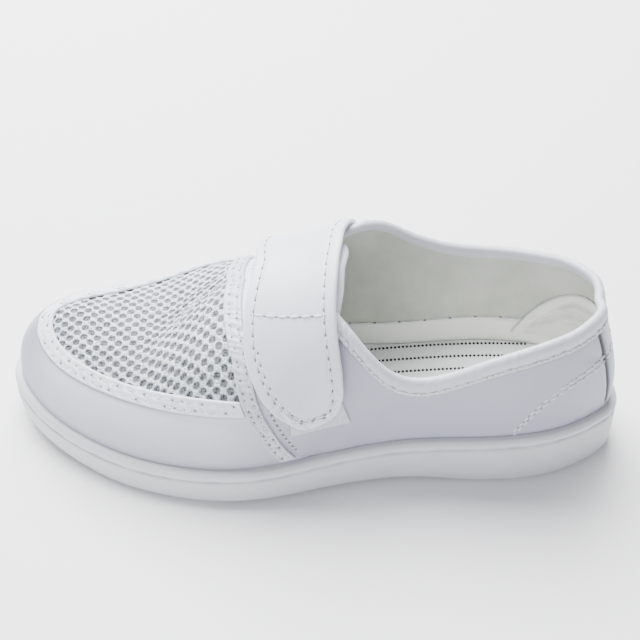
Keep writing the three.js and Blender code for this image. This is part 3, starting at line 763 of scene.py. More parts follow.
def upper_grids():
    """Outer face, lining face, the edge at the cup and the edge under the binding. Two channels
    follow x, y and z: a mark that darkens the leather with painted shade and lightens the lining,
    and the share of painted light on the toe's leather, in the field named stretch."""
    spans = [np.linspace(start, end, count)[:-1] for start, end, count in UPPER_SPANS]
    u = np.concatenate([*spans, [AROUND]])[:, None]
    v = np.linspace(0, 1, OUTER_ROWS)[None, :] * collar_at(u)
    seat = insole_floor(u[:, 0])
    seam, turned_edge = back_seam(u, v)
    bare = form(u, v)
    relief = creased(bare, LEATHER_CREASES, form) - WINDOW_DEPTH * window(u, v)
    relief += TURNED_EDGE * turned_edge - SEAM_DEPTH * seam + FOOT_BULGE * (1 - ease(0.015, 0.07, v))
    # The mark darkens the leather with painted shade: the back seam's dark gap and the shade lines from
    # edge_shade
    outer = with_field(skin(u, v, relief), np.maximum(seam, edge_shade(u, v, bare)), painted_toe_light(u, v))
    foot = with_field(outline(u[:, 0], UPPER_INSET - FOOT_BULGE, seat), 0, 0)
    outer = np.concatenate([foot[:, None], outer], 1)
    t = np.linspace(0, 1, INNER_ROWS)[None, :]
    v = t * collar_at(u)
    loose = -WALL - LINING_SAG * (1 + np.sin(3 * u + 9 * v)) * np.sin(np.pi * t)
    inner = with_field(skin(u, v, loose), 1 - ease(0.075, 0.1, v), 0)
    inner_foot = with_field(outline(u[:, 0], UPPER_INSET + WALL, seat), 1, 0)
    inner = np.concatenate([inner_foot[:, None], inner], 1)
    open_rim = np.stack([outer[:, -1], inner[:, -1]], 1)
    ends = np.flatnonzero(np.diff(is_open(u[:, 0]).astype(int))) + 1
    rims = [open_rim[: ends[0] + 1], open_rim[ends[1] - 1:]]
    return [outer, inner, np.stack([outer[:, 0], inner[:, 0]], 1), *rims]


def edge_shade(u, v, points):
    """Share of painted shade on the leather. Thin painted shadow lines are bells of the distance to the
    sole's lip, the binding's edge and the tape's edge. A wider bell of painted shade lies at the toe's
    foot, and painted shade makes the whole tip of the toe a little greyer."""
    from_foot = arc_length(points.swapaxes(0, 1)).T
    from_binding = from_foot[:, -1:] - from_foot - BINDING_WIDTH
    from_tape = from_foot * (1 - tape_outer(u) / np.maximum(v, 0.01))
    station = station_of(u)
    # Every term is painted shade: shadow at the lip and the toe's foot, a grey tip, and shadow lines under
    # the binding's and the tape's edges
    lip = 0.2 * np.exp(-(((from_foot - FOOT_DROP) / 0.8) ** 2)) * (1 - ease(4, 7, station))
    lip += 0.14 * np.exp(-((from_foot / 3.5) ** 2)) * ease(5, 7, station)
    tip = 0.2 * ease(9.2, 10.8, station)
    binding = 0.5 * np.exp(-(((from_binding - 0.5) / 0.7) ** 2)) * is_open(u)
    tape = 0.45 * np.exp(-(((from_tape + 0.5) / 0.6) ** 2)) * ease(6.1, 6.3, station)
    return lip + binding + np.maximum(tape, tip)


def painted_toe_light(u, v):
    """Share of painted light on the toe's leather, which makes it paler: it rises evenly from the
    sole to the tape and fades towards the waist and towards the tip."""
    station = station_of(u)
    return ease(5.2, 6.8, station) * (1 - ease(8.8, 10.8, station)) * np.clip(v / tape_outer(u), 0, 1)


def arc_length(points):
    """Length along each row of points, from its start."""
    steps = np.linalg.norm(np.diff(points, axis=0), axis=-1)
    return np.concatenate([np.zeros((1, *steps.shape[1:])), np.cumsum(steps, axis=0)])


def with_field(points, *fields):
    """Points with extra channels behind x, y and z."""
    return np.concatenate([points, *[np.broadcast_to(f, points.shape[:-1])[..., None] for f in fields]], -1)


def back_seam(u, v):
    """1 in the open seam down the heel, and 1 on the turned edges beside it, from below the
    binding to the sole. The seam slants towards the outer side as it rises."""
    off = np.abs(u - SEAM_FOOT - SEAM_SLANT * v) * HEEL_STATION
    reach = (1 - ease(0.58, 0.61, v)) * ease(0.02, 0.05, v)
    edges = np.exp(-((off - 1.8 * SEAM_WIDTH) / (0.7 * SEAM_WIDTH)) ** 2)
    return (1 - ease(0.5 * SEAM_WIDTH, SEAM_WIDTH, off)) * reach, edges * reach


def point_field(tree, field):
    """Value socket of a named point field of the mesh."""
    return add_node(tree, "ShaderNodeAttribute", {}, attribute_name=field).outputs["Fac"]


def grained_leather(name, colour, roughness, grain, depth, painted_shade_field=None, painted_light_field=None):
    """Coated leather: faint clouds of tone, cells of grain, a soft satin coat. One point field can
    paint shade into it, another can paint light onto it."""
    material, tree, shader = start_material(name, colour, roughness, coat=0.12)
    shader.inputs["Coat Roughness"].default_value = 0.4
    bright = tuple(min(1, 1.02 * part) for part in colour)
    dull = tuple(0.965 * part for part in colour)
    tone = two_tones(tree, object_noise(tree, 38, 4), dull, bright)
    for field, field_tone in ((painted_light_field, PAINTED_LIGHT_TONE), (painted_shade_field, PAINTED_SHADE_TONE)):
        if field:
            tone = two_tones(tree, point_field(tree, field), tone, field_tone)
    values = {"Scale": 1 / (grain * MM), "Randomness": 0.9}
    cells = object_texture(tree, "ShaderNodeTexVoronoi", values).outputs["Distance"]
    uneven = remapped(tree, object_noise(tree, 260, 3), 0.3, 0.7, roughness - 0.06, roughness + 0.07)
    tree.links.new(uneven, shader.inputs["Roughness"])
    join_shader(tree, shader, tone, [(object_noise(tree, 90, 3), 0.25, 0.0007), (cells, 0.35, depth * MM)])
    return material


def lining_cloth(name, light_field, crumple, roughness):
    """Greenish grey-white cotton: fine crossed threads, soft stains of tone, crumpled to a depth
    in metres. A point field marks where it is lighter."""
    material, tree, shader = start_material(name, (0.66, 0.675, 0.63), roughness, sheen=0.1)
    tone = two_tones(tree, object_noise(tree, 45, 5, 0.7), (0.4, 0.412, 0.363), (0.72, 0.735, 0.67))
    tone = two_tones(tree, point_field(tree, light_field), tone, (0.95, 0.96, 0.92))
    values = {"Scale": wave_scale(LINING_PITCH), "Distortion": 1.2, "Detail": 2.0}
    bumps = [(object_noise(tree, 120, 3), 0.3, crumple)]
    for direction in ("X", "Z"):
        threads = object_texture(tree, "ShaderNodeTexWave", values, bands_direction=direction)
        bumps.append((threads.outputs["Fac"], 0.3, 0.00012))
    join_shader(tree, shader, tone, bumps)
    return material


# Roughness of the coated leather, size of its grain and the grain's depth in millimetres
SATIN = (0.44, 0.9, 0.12)
# The upper's leather gets a much darker base than the strap's white: painted shade on the sideways walls,
# with the leather's own lavender tint
upper_leather_shaded = grained_leather("upper_leather_shaded", (0.43, 0.435, 0.525), *SATIN, "mark", "stretch")
lining = lining_cloth("cotton_lining", "mark", 0.0006, 0.9)
# mark holds painted shade on the leather and a lighter strip of lining; the field named stretch holds
# painted light on the toe
upper_fields = ["mark", "stretch"]
add_piece("upper_wall", upper_grids(), [upper_leather_shaded, lining], ["upper"], upper_fields, (1, 3, 4))

# Mesh vamp
# White double-faced mesh cloth over the toes. Rounded holes stand in staggered rows, painted
# dark grey as shade in them. Under the strap the cloth is drawn into soft folds.
HOLE_LENGTH = 6.8
HOLE_BREADTH = 5.2
HOLE_RADII = (1.9, 1.55)
HOLE_SQUARENESS = 2.6
HOLE_DEPTH = 0.6
MESH_LIFT = 0.15
CLOTH_RADIUS = 62
# The fold's ends in plan, how much cloth it draws in, and the width of each pleat.
FOLD_START = np.array([-28, 22])
FOLD_END = np.array([-78, -17])
FOLD_CLOTH = 11
FOLD_REACH = 4.5
PLEAT = 2.6
PLEAT_HEIGHT = 0.7
VAMP_START = 6.3
VAMP_STEPS = 212
VAMP_ROWS = 111


def cloth_place(points):
    """Place on the flat cloth in millimetres: length over the middle line at this x, and radius
    times the angle about the floor's line under that middle line."""
    toe = form(STATIONS, np.linspace(0.4, 1, 60))
    ridge = form(np.linspace(STATIONS, 6, 200), np.ones(200))
    line = np.concatenate([toe, ridge[1:]])
    length = np.concatenate([[0], np.cumsum(np.linalg.norm(np.diff(line, axis=0), axis=1))])
    x = points[..., 0]
    over = points[..., 1] - np.interp(x, line[:, 0], line[:, 1])
    return np.interp(x, line[:, 0], length), CLOTH_RADIUS * np.arctan2(over, points[..., 2])


def fold_of(points):
    """Distance in plan to the fold's line, with its sign, and how strong the fold is at that x. It
    fades from the band towards the toe and widens as it does."""
    along = unit(FOLD_END - FOLD_START)
    from_start = points[..., :2] - FOLD_START
    off = from_start[..., 0] * along[1] - from_start[..., 1] * along[0]
    share = (points[..., 0] - FOLD_END[0]) / (FOLD_START[0] - FOLD_END[0])
    return off * (0.6 + 0.6 * share), ease(-0.1, 0.75, share)


def hole_field(along, around):
    """1 in the holes: rounded rectangles about each point of two crossed rectangular lattices."""
    nearest = np.full(along.shape, 9.0)
    for shift in (0, 0.5):
        a = np.abs((along / HOLE_LENGTH + shift + 0.5) % 1 - 0.5) * HOLE_LENGTH / HOLE_RADII[0]
        b = np.abs((around / HOLE_BREADTH + shift + 0.5) % 1 - 0.5) * HOLE_BREADTH / HOLE_RADII[1]
        nearest = np.minimum(nearest, (a**HOLE_SQUARENESS + b**HOLE_SQUARENESS) ** (1 / HOLE_SQUARENESS))
    return 1 - ease(0.72, 1.08, nearest)


def vamp_grids():
    """Grid from the middle of the tape up to the ridge, for each side, with a hidden back face. The
    fold is a row of fine pleats in a hollow, in which the cloth's own places run on faster."""
    s = np.linspace(0, 1, VAMP_STEPS)[:, None]
    t = np.linspace(0, 1, VAMP_ROWS)[None, :]
    grids = []
    for side in (1, -1):
        place = mix(VAMP_START, STATIONS, s)
        low = tape_middle(place if side > 0 else AROUND - place)
        height = mix(low, 1, t)
        first = band_middle(height if side > 0 else 2 - height) + 0.03
        station = mix(first, STATIONS, s)
        u = station if side > 0 else AROUND - station
        bare = form(u, height)
        off, strength = fold_of(bare)
        along, around = cloth_place(bare)
        hole = hole_field(along, around + FOLD_CLOTH * strength * np.tanh(off / FOLD_REACH))
        pleats = np.cos(2 * np.pi * off / PLEAT) * np.exp(-(off / 5) ** 2) - 0.8 * np.exp(-(off / 7) ** 2)
        relief = PLEAT_HEIGHT * strength * pleats
        face = with_field(skin(u, height, MESH_LIFT + relief - HOLE_DEPTH * hole), hole)
        back = with_field(skin(u, height, 0.05 - WINDOW_DEPTH), hole)
        grids += [face, back, np.stack([face[:, 0], back[:, 0]], 1), np.stack([face[0], back[0]])]
    return grids


def mesh_cloth():
    """White knitted mesh: fine looped yarn on the bars; in the holes, painted shade of dark grey with
    darker specks.
    """
    material, tree, shader = start_material("mesh_cloth", (0.84, 0.86, 0.87), 0.7, sheen=0.1)
    yarn = object_noise(tree, 1100, 2)
    bars = two_tones(tree, remapped(tree, yarn, 0.35, 0.65), (0.34, 0.385, 0.42), (0.9, 0.95, 1))
    specks = object_noise(tree, 900, 2, 0.7)
    # The holes' colour is painted shade: dark grey with darker specks
    depth = two_tones(tree, remapped(tree, specks, 0.4, 0.55), (0.03, 0.035, 0.04), (0.19, 0.21, 0.23))
    in_hole = remapped(tree, point_field(tree, "hole"), 0.15, 0.75)
    join_shader(tree, shader, two_tones(tree, in_hole, bars, depth), [(yarn, 0.7, 0.0005)])
    return material


vamp = add_piece("vamp_mesh", vamp_grids(), [mesh_cloth()], (), ["hole"])

# Tape around the mesh
# Soft crinkled white tape, turned over the mesh's edge from band to band around the toe. Two
# rows of thread hold it, and their needle holes pucker it.
TRIM_THICK = 1.1
TAPE_WIDTH = 8
TAPE_LENGTH = 190
STRIP_ROUND = 0.6
STRIP_STEP = 0.45
TAPE_STEPS = 620
TAPE_ROWS = (0.3, 0.72)
TAPE_STITCH = 4.9
ROW_ENDS = (0.012, 0.988)
ROW_PLACES = np.linspace(*ROW_ENDS, 400)
ROW_SINK = 0.02
THREAD_SLACK = 0.1


def edge_round(distance, radius):
    """Share of the full thickness near an edge: a quarter circle of that radius."""
    return np.sqrt(np.clip(1 - (1 - np.clip(distance / radius, 0, 1)) ** 2, 0, 1))


def pillow(s, t, length, width, end_round, side_round):
    """Share of the full thickness of a strip with rounded ends and sides."""
    ends = edge_round(np.minimum(s, 1 - s) * length, end_round)
    return ends * edge_round(np.minimum(t, 1 - t) * width, side_round)


def uneven_wave(along, rate, swing, swing_rate, phase=0.0):
    """Sine along a length, whose crests stand unevenly because its phase swings as a slower sine."""
    return np.sin(rate * along + phase + swing * np.sin(swing_rate * along))


def dense_ends(length, edge, step):
    """Shares from 0 to 1 of a length: close together over both rounded edges, even between."""
    curve = edge * (1 - np.cos(np.linspace(0, np.pi / 2, 6)))[:-1]
    middle = np.linspace(edge, length - edge, max(2, int((length - 2 * edge) / step)))
    return np.concatenate([curve, middle, (length - curve)[::-1]]) / length


def tape_place(s, t):
    """Place of the tape in stations and wall height: s runs around the toe, t from the mesh out."""
    def height_at(u):
        return mix(mesh_inner(u), tape_outer(u), t)
    u = mix(band_front(height_at(6.25)), AROUND - band_front(2 - height_at(15.5)), s)
    return u, height_at(u)


def sewn_hollows(row, s, off, pitch):
    """Furrow along a row of thread with a dimple at each of its needle holes. The row is a line of
    points at the shares ROW_PLACES, and off is the distance beside it."""
    length = arc_length(row)
    step = length[-1] / round(length[-1] / pitch)
    run = np.interp(s, ROW_PLACES, length)
    beside = run - np.round(run / step) * step
    sewn = ease(ROW_ENDS[0] - 0.004, ROW_ENDS[0], s) * ease(1 - ROW_ENDS[0] + 0.004, 1 - ROW_ENDS[0], s)
    dimple = np.exp(-(beside**2 + off**2) / 0.55**2)
    return -sewn * (0.22 * np.exp(-(off / 0.9) ** 2) + 0.35 * dimple)


def tape_surface(s, t, lift=0.0):
    """Crinkled tape with rounded edges: short waves across it and hollows at the thread."""
    u, height = tape_place(s, t)
    along = arc_length(skin(u, height, GAP))
    swell = pillow(s, t, TAPE_LENGTH, TAPE_WIDTH, 1, STRIP_ROUND)
    crinkle = 0.17 * uneven_wave(along, 2.1, 2.5, 0.23) * np.sin(np.pi * t)
    crinkle += 0.07 * np.sin(3.7 * along + 9 * t) + 0.18 * np.sin(0.9 * along + 5 * t)
    for share in TAPE_ROWS:
        row = skin(*tape_place(ROW_PLACES, share), GAP)
        crinkle = crinkle + sewn_hollows(row, s, (t - share) * TAPE_WIDTH, TAPE_STITCH)
    return skin(u, height, GAP + swell * (TRIM_THICK + crinkle) + lift)


def tape_grids():
    """Crinkled face and plain back of the tape."""
    s = np.linspace(0, 1, TAPE_STEPS)[:, None]
    t = dense_ends(TAPE_WIDTH, STRIP_ROUND, STRIP_STEP)[None, :]
    return [tape_surface(s, t), skin(*tape_place(s, t), GAP)]


def thread_path(surface):
    """Path of a thread, positions and outward directions side by side. The surface gives the
    path's points at a height above it."""
    here = surface(0)
    return np.concatenate([here, unit(surface(0.5) - here)], -1)


def even_places(path, pitch):
    """The path's points and directions at even steps of about the pitch."""
    length = arc_length(path[:, :3])
    at = np.linspace(0, length[-1], max(2, round(length[-1] / pitch) + 1))
    return np.stack([np.interp(at, length, channel) for channel in path.T], -1)


def thread_loops(places, radius, arch):
    """Stitches between neighbouring places: rings around a low arch, thin at both ends."""
    start, end = places[:-1], places[1:]
    chord = end[:, :3] - start[:, :3]
    direction = unit(chord)[:, None, None]
    normal = unit(start[:, 3:] + end[:, 3:])[:, None, None]
    side = np.cross(direction, normal)
    a = np.linspace(0, 1, 6)[None, :, None, None]
    turn = np.linspace(0, 2 * np.pi, 7)[None, None, :, None]
    along = THREAD_SLACK + (1 - 2 * THREAD_SLACK) * a
    centre = start[:, None, None, :3] + chord[:, None, None] * along
    centre = centre + normal * (4 * arch * a * (1 - a) - 0.05)
    size = radius * np.sqrt(np.clip(np.sin(np.pi * a), 0, 1))
    return centre + size * (np.cos(turn) * side + np.sin(turn) * normal)


def needle_holes(places, radius, stretch):
    """Dark lenses of painted shade at the places, longer along the row: rings from a low middle over
    the rim to a middle above."""
    normal = unit(places[:, 3:])[:, None, None]
    ahead = unit(np.gradient(places[:, :3], axis=0))[:, None, None]
    aside = np.cross(normal, ahead)
    share = np.array([0, 1, 0])[None, :, None, None]
    lift = np.array([-0.2, 0.08, 0.13])[None, :, None, None]
    turn = np.linspace(0, 2 * np.pi, 9)[None, None, :, None]
    ellipse = stretch * np.cos(turn) * ahead + np.sin(turn) * aside
    return places[:, None, None, :3] + normal * lift + share * radius * ellipse


def thread_material():
    """White sewing thread with a fine twist."""
    material, tree, shader = start_material("white_thread", (0.86, 0.86, 0.87), 0.5)
    twist = object_noise(tree, 2600, 1)
    tone = two_tones(tree, twist, (0.78, 0.78, 0.79), (0.93, 0.93, 0.94))
    join_shader(tree, shader, tone, [(twist, 0.4, 0.00012)])
    return material


def hole_material():
    """Shadowed needle hole: dull dark grey with a lighter rim here and there."""
    material, tree, shader = start_material("needle_hole", (0.3, 0.3, 0.31), 0.9)
    tone = two_tones(tree, object_noise(tree, 500, 1), (0.1, 0.1, 0.11), (0.36, 0.36, 0.38))
    join_shader(tree, shader, tone, [(object_noise(tree, 2000, 1), 0.2, 0.0001)])
    return material


white_thread = thread_material()
# Needle holes are dark lenses of painted shade
needle_hole = hole_material()
soft_tape = grained_leather("soft_tape", (0.87, 0.88, 0.95), 0.55, 1.3, 0.2)


def add_stitches(name, paths, pitch, radius, hole, stretch=1.6, arch=0.25):
    """Thread and needle holes at even steps along the paths, as one mesh each. Radius and arch are
    the thread's, hole is the radius of a needle hole and stretch its length over its breadth."""
    places = [even_places(path, pitch) for path in paths]
    loops = [thread_loops(place, radius, arch) for place in places]
    holes = [needle_holes(place, hole, stretch) for place in places]
    return [
        add_piece(name + "_thread", loops, [white_thread]),
        add_piece(name + "_needle_holes", holes, [needle_hole]),
    ]


def sewn_row(surface, t):
    """Path of a row of thread at that share of a strip's width, sunk a little into the strip."""
    return thread_path(lambda lift: surface(ROW_PLACES, t, lift - ROW_SINK))


add_piece("mesh_tape", tape_grids(), [soft_tape], ["mesh_edge_trim"])
tape_rows = [sewn_row(tape_surface, share) for share in TAPE_ROWS]
add_stitches("mesh_tape", tape_rows, TAPE_STITCH, radius=0.2, hole=0.5, stretch=1.3)

# Throat band
# A band of the same coated leather runs from the sole over the instep and down again, over the
# mesh's back edge. Two rows of thread hold it, and a third row runs on the quarter behind it.
BAND_THICK = 1.3
BAND_WIDTH = 8.5
BAND_LENGTH = 200
BAND_STEPS = 520
BAND_LOW = 0.03
BAND_ROWS = (0.3, 0.74)
QUARTER_ROW = 1.45
BAND_STITCH = 3.0


def band_point(s, t, lift):
    """Point of the band: s from the lateral to the medial sole, t from the front to the rear edge."""
    height = mix(BAND_LOW, 2 - BAND_LOW, s)
    return across(mix(band_front(height), band_rear(height), t), height, lift)


def band_surface(s, t, lift=0.0):
    """Band with rounded edges: waves across it, a raised front edge and hollows at the thread."""
    along = arc_length(band_point(s, t, GAP))
    swell = pillow(s, t, BAND_LENGTH, BAND_WIDTH, 1, STRIP_ROUND)
    relief = 0.24 * uneven_wave(along, 0.8, 1.5, 0.17, 4 * t) * np.sin(3 * t + 0.3 * along)
    relief += 0.12 * uneven_wave(along, 1.9, 2, 0.4, 5 * t)
    relief += 0.35 * np.exp(-((t * BAND_WIDTH - 0.9) / 0.7) ** 2)
    for share in BAND_ROWS:
        row = band_point(ROW_PLACES, share, GAP)
        relief = relief + sewn_hollows(row, s, (t - share) * BAND_WIDTH, BAND_STITCH)
    return band_point(s, t, GAP + swell * (BAND_THICK + relief) + lift)


def band_grids():
    """Waved face and plain back of the band."""
    s = np.linspace(0, 1, BAND_STEPS)[:, None]
    t = dense_ends(BAND_WIDTH, STRIP_ROUND, STRIP_STEP)[None, :]
    return [band_surface(s, t), band_point(s, t, GAP)]


strap_leather = grained_leather("strap_leather", (0.81, 0.82, 0.9), *SATIN)
band_leather = grained_leather("band_leather", (0.64, 0.65, 0.73), *SATIN)
add_piece("throat_band_leather", band_grids(), [band_leather], ["throat_band"])
band_rows = [sewn_row(band_surface, share) for share in BAND_ROWS]
quarter_row = sewn_row(band_point, QUARTER_ROW)
add_stitches("throat_band", band_rows, BAND_STITCH, radius=0.24, hole=0.46)
add_stitches("quarter", [quarter_row], BAND_STITCH, radius=0.24, hole=0.62)

# Counter seams
# Two close rows of white thread run over the heel counter in an arc, from the back seam down to
# the sole on either side, sewn straight through the leather.
COUNTER_ARC = [
    (0.02, 0.455), (0.6, 0.43), (1.1, 0.388), (1.5, 0.36), (1.8, 0.33), (2.05, 0.283), (2.25, 0.215),
    (2.42, 0.12), (2.59, -0.01),
]
COUNTER_ROW_GAP = 0.04
COUNTER_STITCH = 4.6


def counter_row(side, shift):
    """Path of one row: the arc's stations and wall heights, mirrored for the medial side."""
    at = smooth_line(COUNTER_ARC, 160)
    u = at[:, 0] if side > 0 else AROUND - at[:, 0]
    v = np.maximum(at[:, 1] + shift, 0)
    return thread_path(lambda lift: skin(u, v, 0.05 + lift))


counter_rows = [counter_row(side, shift) for side in (1, -1) for shift in (0, COUNTER_ROW_GAP)]
add_stitches("counter", counter_rows, COUNTER_STITCH, radius=0.38, hole=0.38)

# Lining seam
# Long slack stitches of white thread run along the inside a finger above the insole, where the
# lining is sewn to the board.
LINING_ROW_HEIGHT = 13
LINING_STITCH = 12.5


def lining_row(start, end):
    """Path inside the wall at an even height over the insole."""
    u = np.linspace(start, end, 200)
    v = np.linspace(0, 0.6, 121)
    heights = form(u[:, None], v[None, :])[..., 2]
    wanted = insole_face(u) + LINING_ROW_HEIGHT
    at = np.array([np.interp(z, row, v) for z, row in zip(wanted, heights)])
    return thread_path(lambda lift: skin(u, at, -WALL - 0.55 - lift))


lining_rows = [lining_row(2.3, 5.9), lining_row(16.1, 19.7)]
add_stitches("lining", lining_rows, LINING_STITCH, radius=0.42, hole=0.5, arch=0.9)

# Collar binding
# A strip of soft coated tape is folded over the collar's edge: a round roll on top, and below it
# a flat flange on both faces, sewn through with one wavy row of thread.
BINDING_THICK = 1.2
BINDING_START = 5.5
BINDING_PROFILE = [
    # distance outside the upper's face, height above the collar's edge
    (0.3, -8), (1.05, -7.95), (1.15, -7.3), (0.85, -6.2), (0.85, -5.3), (1.35, -4.3), (1.6, -2.9),
    (1.55, -1.4), (1.2, -0.1), (0.3, 0.9), (-0.8, 1.15), (-1.9, 0.7), (-2.6, -0.4), (-2.75, -1.8),
    (-2.65, -3), (-2.55, -3.8), (-2.35, -4.3), (-2.1, -4.4),
]
# The hidden side, along the wall and down to the profile's start, and the point of both ends
BINDING_INSIDE = [(-2.1, -0.1), (0.3, -0.1), (0.3, -8)]
BINDING_MIDDLE = np.array([-0.9, -3.5])
BINDING_STEPS = 520
PROFILE_POINTS = 52
CLOSING_STEPS = 3
BINDING_STITCH = 3.0
CRUMPLED_FROM = 4.2


def binding_point(u, distance, lift):
    """Point beside the collar's edge: below it the wall is followed, above it the wall's direction."""
    v = collar_at(u)
    rise = np.linalg.norm(form(u, v) - form(u, v - 0.05), axis=-1) / 0.05
    up = wall_frame(u, v)[0]
    low = skin(u, v + np.minimum(lift, 0) / rise, distance)
    return low + up * np.broadcast_to(np.maximum(lift, 0), low.shape[:-1])[..., None]


def binding_grids():
    """Closed profile carried around the collar, with slight waves that grow at the throat, drawn to
    a point at both ends."""
    u = np.mod(np.linspace(-BINDING_START, BINDING_START, BINDING_STEPS), AROUND)[:, None]
    profile = np.concatenate([smooth_line(BINDING_PROFILE, PROFILE_POINTS), BINDING_INSIDE])
    along = arc_length(form(u, collar_at(u)))
    crumple = 0.2 + 0.8 * ease(CRUMPLED_FROM, BINDING_START - 0.4, station_of(u))
    wave = 0.08 * uneven_wave(along, 1.3, 1.5, 0.31) + 0.05 * np.sin(2.9 * along)
    wave += 0.38 * crumple * uneven_wave(along, 0.95, 2, 0.37)
    step = np.arange(BINDING_STEPS)[:, None]
    closing = np.clip(np.minimum(step, step[::-1]) / CLOSING_STEPS, 0, 1)
    shape = BINDING_MIDDLE + (profile - BINDING_MIDDLE) * closing[..., None]
    out = np.where(profile[:, 0] > 0.5, 1, 0) * closing
    return [binding_point(u, shape[..., 0] + wave * out, shape[..., 1])]


def binding_row():
    """Wavy path of the thread on the outer flange."""
    u = np.mod(np.linspace(-5.2, 5.2, 2400), AROUND)
    along = arc_length(form(u, collar_at(u)))
    zigzag = 2 / np.pi * np.arcsin(np.sin(np.pi * along / BINDING_STITCH))
    return thread_path(lambda lift: binding_point(u, 0.85 + lift, -6.5 + 0.75 * zigzag))


binding_tape = grained_leather("binding_tape", (0.62, 0.625, 0.69), 0.5, 1.1, 0.14)
add_piece("collar_binding_tape", binding_grids(), [binding_tape], ["collar_binding"])
add_stitches("collar", [binding_row()], BINDING_STITCH, radius=0.42, hole=0.3, stretch=1)

# Tongue
# A padded flap of coated leather under the strap. Its rounded rear edge stands a little behind
# the strap, and it swells up between the collar's edges.
TONGUE_THICK = 3
TONGUE_RISE = 3.6
TONGUE_LENGTH = 42
TONGUE_BREADTH = 60
TONGUE_EDGE = 1.6
TONGUE_SIDES = (0.52, 1.26)
TONGUE_CLEAR = 0.07
TONGUE_FRONT = 6.3
TONGUE_REAR = 5.02
TONGUE_CORNER = 0.19
TONGUE_ROUND = 0.3


def tongue_grids():
    """Flap under the instep: depth below the upper's face, less where it swells, with round edges."""
    s = dense_ends(TONGUE_LENGTH, TONGUE_EDGE, 0.9)[:, None]
    t = dense_ends(TONGUE_BREADTH, TONGUE_EDGE, 0.9)[None, :]
    station = mix(TONGUE_FRONT, TONGUE_REAR, s)
    corner = TONGUE_CORNER * (1 - np.sqrt(1 - np.clip(1 - (1 - s) / TONGUE_ROUND, 0, 1) ** 2))
    height = mix(TONGUE_SIDES[0] + corner, TONGUE_SIDES[1] - corner, t)
    held = np.maximum(station, TONGUE_REAR + 0.04)
    from_lateral = height - collar_at(held) - TONGUE_CLEAR
    from_medial = 2 - collar_at(AROUND - held) - TONGUE_CLEAR - height
    swell = ease(0, 0.18, from_lateral) * ease(0, 0.18, from_medial) * (1 - 0.4 * ease(0.5, 1, s))
    middle = -(WALL + BINDING_THICK + 4 * GAP) + TONGUE_RISE * swell - TONGUE_THICK / 2
    half = TONGUE_THICK / 2 * pillow(s, t, TONGUE_LENGTH, TONGUE_BREADTH, TONGUE_EDGE, TONGUE_EDGE)

    def face(depth):
        point = across(held, height, depth)
        behind = across(held + 0.3, height, depth)
        return point + (point - behind) * ((held - station) / 0.3)[..., None]
    return [face(middle + half), face(middle - half)]


tongue = add_piece("tongue_pad", tongue_grids(), [strap_leather], ["tongue"])

# Hook and loop patches
# Two tapes sewn to the outer quarter and to the strap's underside. Only the corners of the lower
# one show below the strap's end.
PATCH_THICK = 0.8
PATCH_HEIGHT = 29
PATCH_BREADTH = 24
PATCH_ROUND = 0.5
# The loop tape's tones are darker than the hook tape's: painted shade, as it lies under the strap's end
SHADED_LOOP_TONES = ((0.48, 0.485, 0.53), (0.8, 0.805, 0.85))
HOOK_TONES = ((0.64, 0.645, 0.69), (0.8, 0.805, 0.84))


def patch_grids(stations, heights, lift, slant=0.0):
    """Thin rectangle on the quarter with rounded edges; its rear edge slants forward upwards."""
    s = dense_ends(PATCH_HEIGHT, PATCH_ROUND, 0.7)[:, None]
    t = dense_ends(PATCH_BREADTH, PATCH_ROUND, 0.7)[None, :]
    rim = pillow(s, t, PATCH_HEIGHT, PATCH_BREADTH, PATCH_ROUND, PATCH_ROUND)
    station = mix(stations[0], stations[1] + slant * s, t)
    height = mix(heights[0], heights[1], s)
    return [across(station, height, lift + PATCH_THICK * rim), across(station, height, lift)]


def fastener_tape(name, scale, low, high):
    """White tape with dense small hooks or loops, shown as a pile of fine cells."""
    material, tree, shader = start_material(name, (0.84, 0.84, 0.86), 0.55, sheen=0.2)
    values = {"Scale": scale, "Randomness": 0.6}
    pile = object_texture(tree, "ShaderNodeTexVoronoi", values).outputs["Distance"]
    join_shader(tree, shader, two_tones(tree, pile, high, low), [(pile, 0.9, 0.0004)])
    return material


loop_grids = patch_grids((5.56, 4.76), (0.165, 0.42), GAP, slant=0.26)
hook_grids = patch_grids((5.7, 5.0), (0.27, 0.42), 2 * GAP + PATCH_THICK)
loop_pile = fastener_tape("loop_tape", 1300, *SHADED_LOOP_TONES)
hook_pile = fastener_tape("hook_tape", 800, *HOOK_TONES)
loops = add_piece("loop_tape", loop_grids, [loop_pile], ["loop_patch"])
hooks = add_piece("hook_tape", hook_grids, [hook_pile], ["hook_patch"])

# Strap
# One wide strip of coated leather folded at its edges. It comes from the medial quarter over the
# instep and ends round on the outer side. A row of thread follows its edge, and one crosses it.
STRAP_THICK = 2.4
STRAP_FRONT_RISE = 6.8
STRAP_REAR_RISE = 0.5
STRAP_WIDTH = 44
STRAP_LENGTH = 130
STRAP_ROUND = 1.3
STRAP_MARGIN = 4.8
STRAP_CROSS = (0.755, 0.69)
STRAP_SEWN = 1.4
STRAP_STITCH = 5.2
STRAP_EDGES = [
    # height, front station, rear station
    [0.213, 5.4, 5.24], [0.225, 5.47, 5.1], [0.25, 5.57, 4.97], [0.29, 5.71, 4.9], [0.345, 5.87, 4.87],
    [0.42, 6.02, 4.88], [0.5, 6.14, 4.91], [0.6, 6.25, 4.95], [0.75, 6.3, 4.98], [0.9, 6.26, 4.98],
    [1.05, 6.24, 4.94], [1.2, 6.12, 4.82], [1.45, 5.92, 4.7],
]
strap_front = table_curve(STRAP_EDGES, 1)
strap_rear = table_curve(STRAP_EDGES, 2)
STRAP_FIRST = STRAP_EDGES[0][0]
STRAP_LAST = STRAP_EDGES[-1][0]


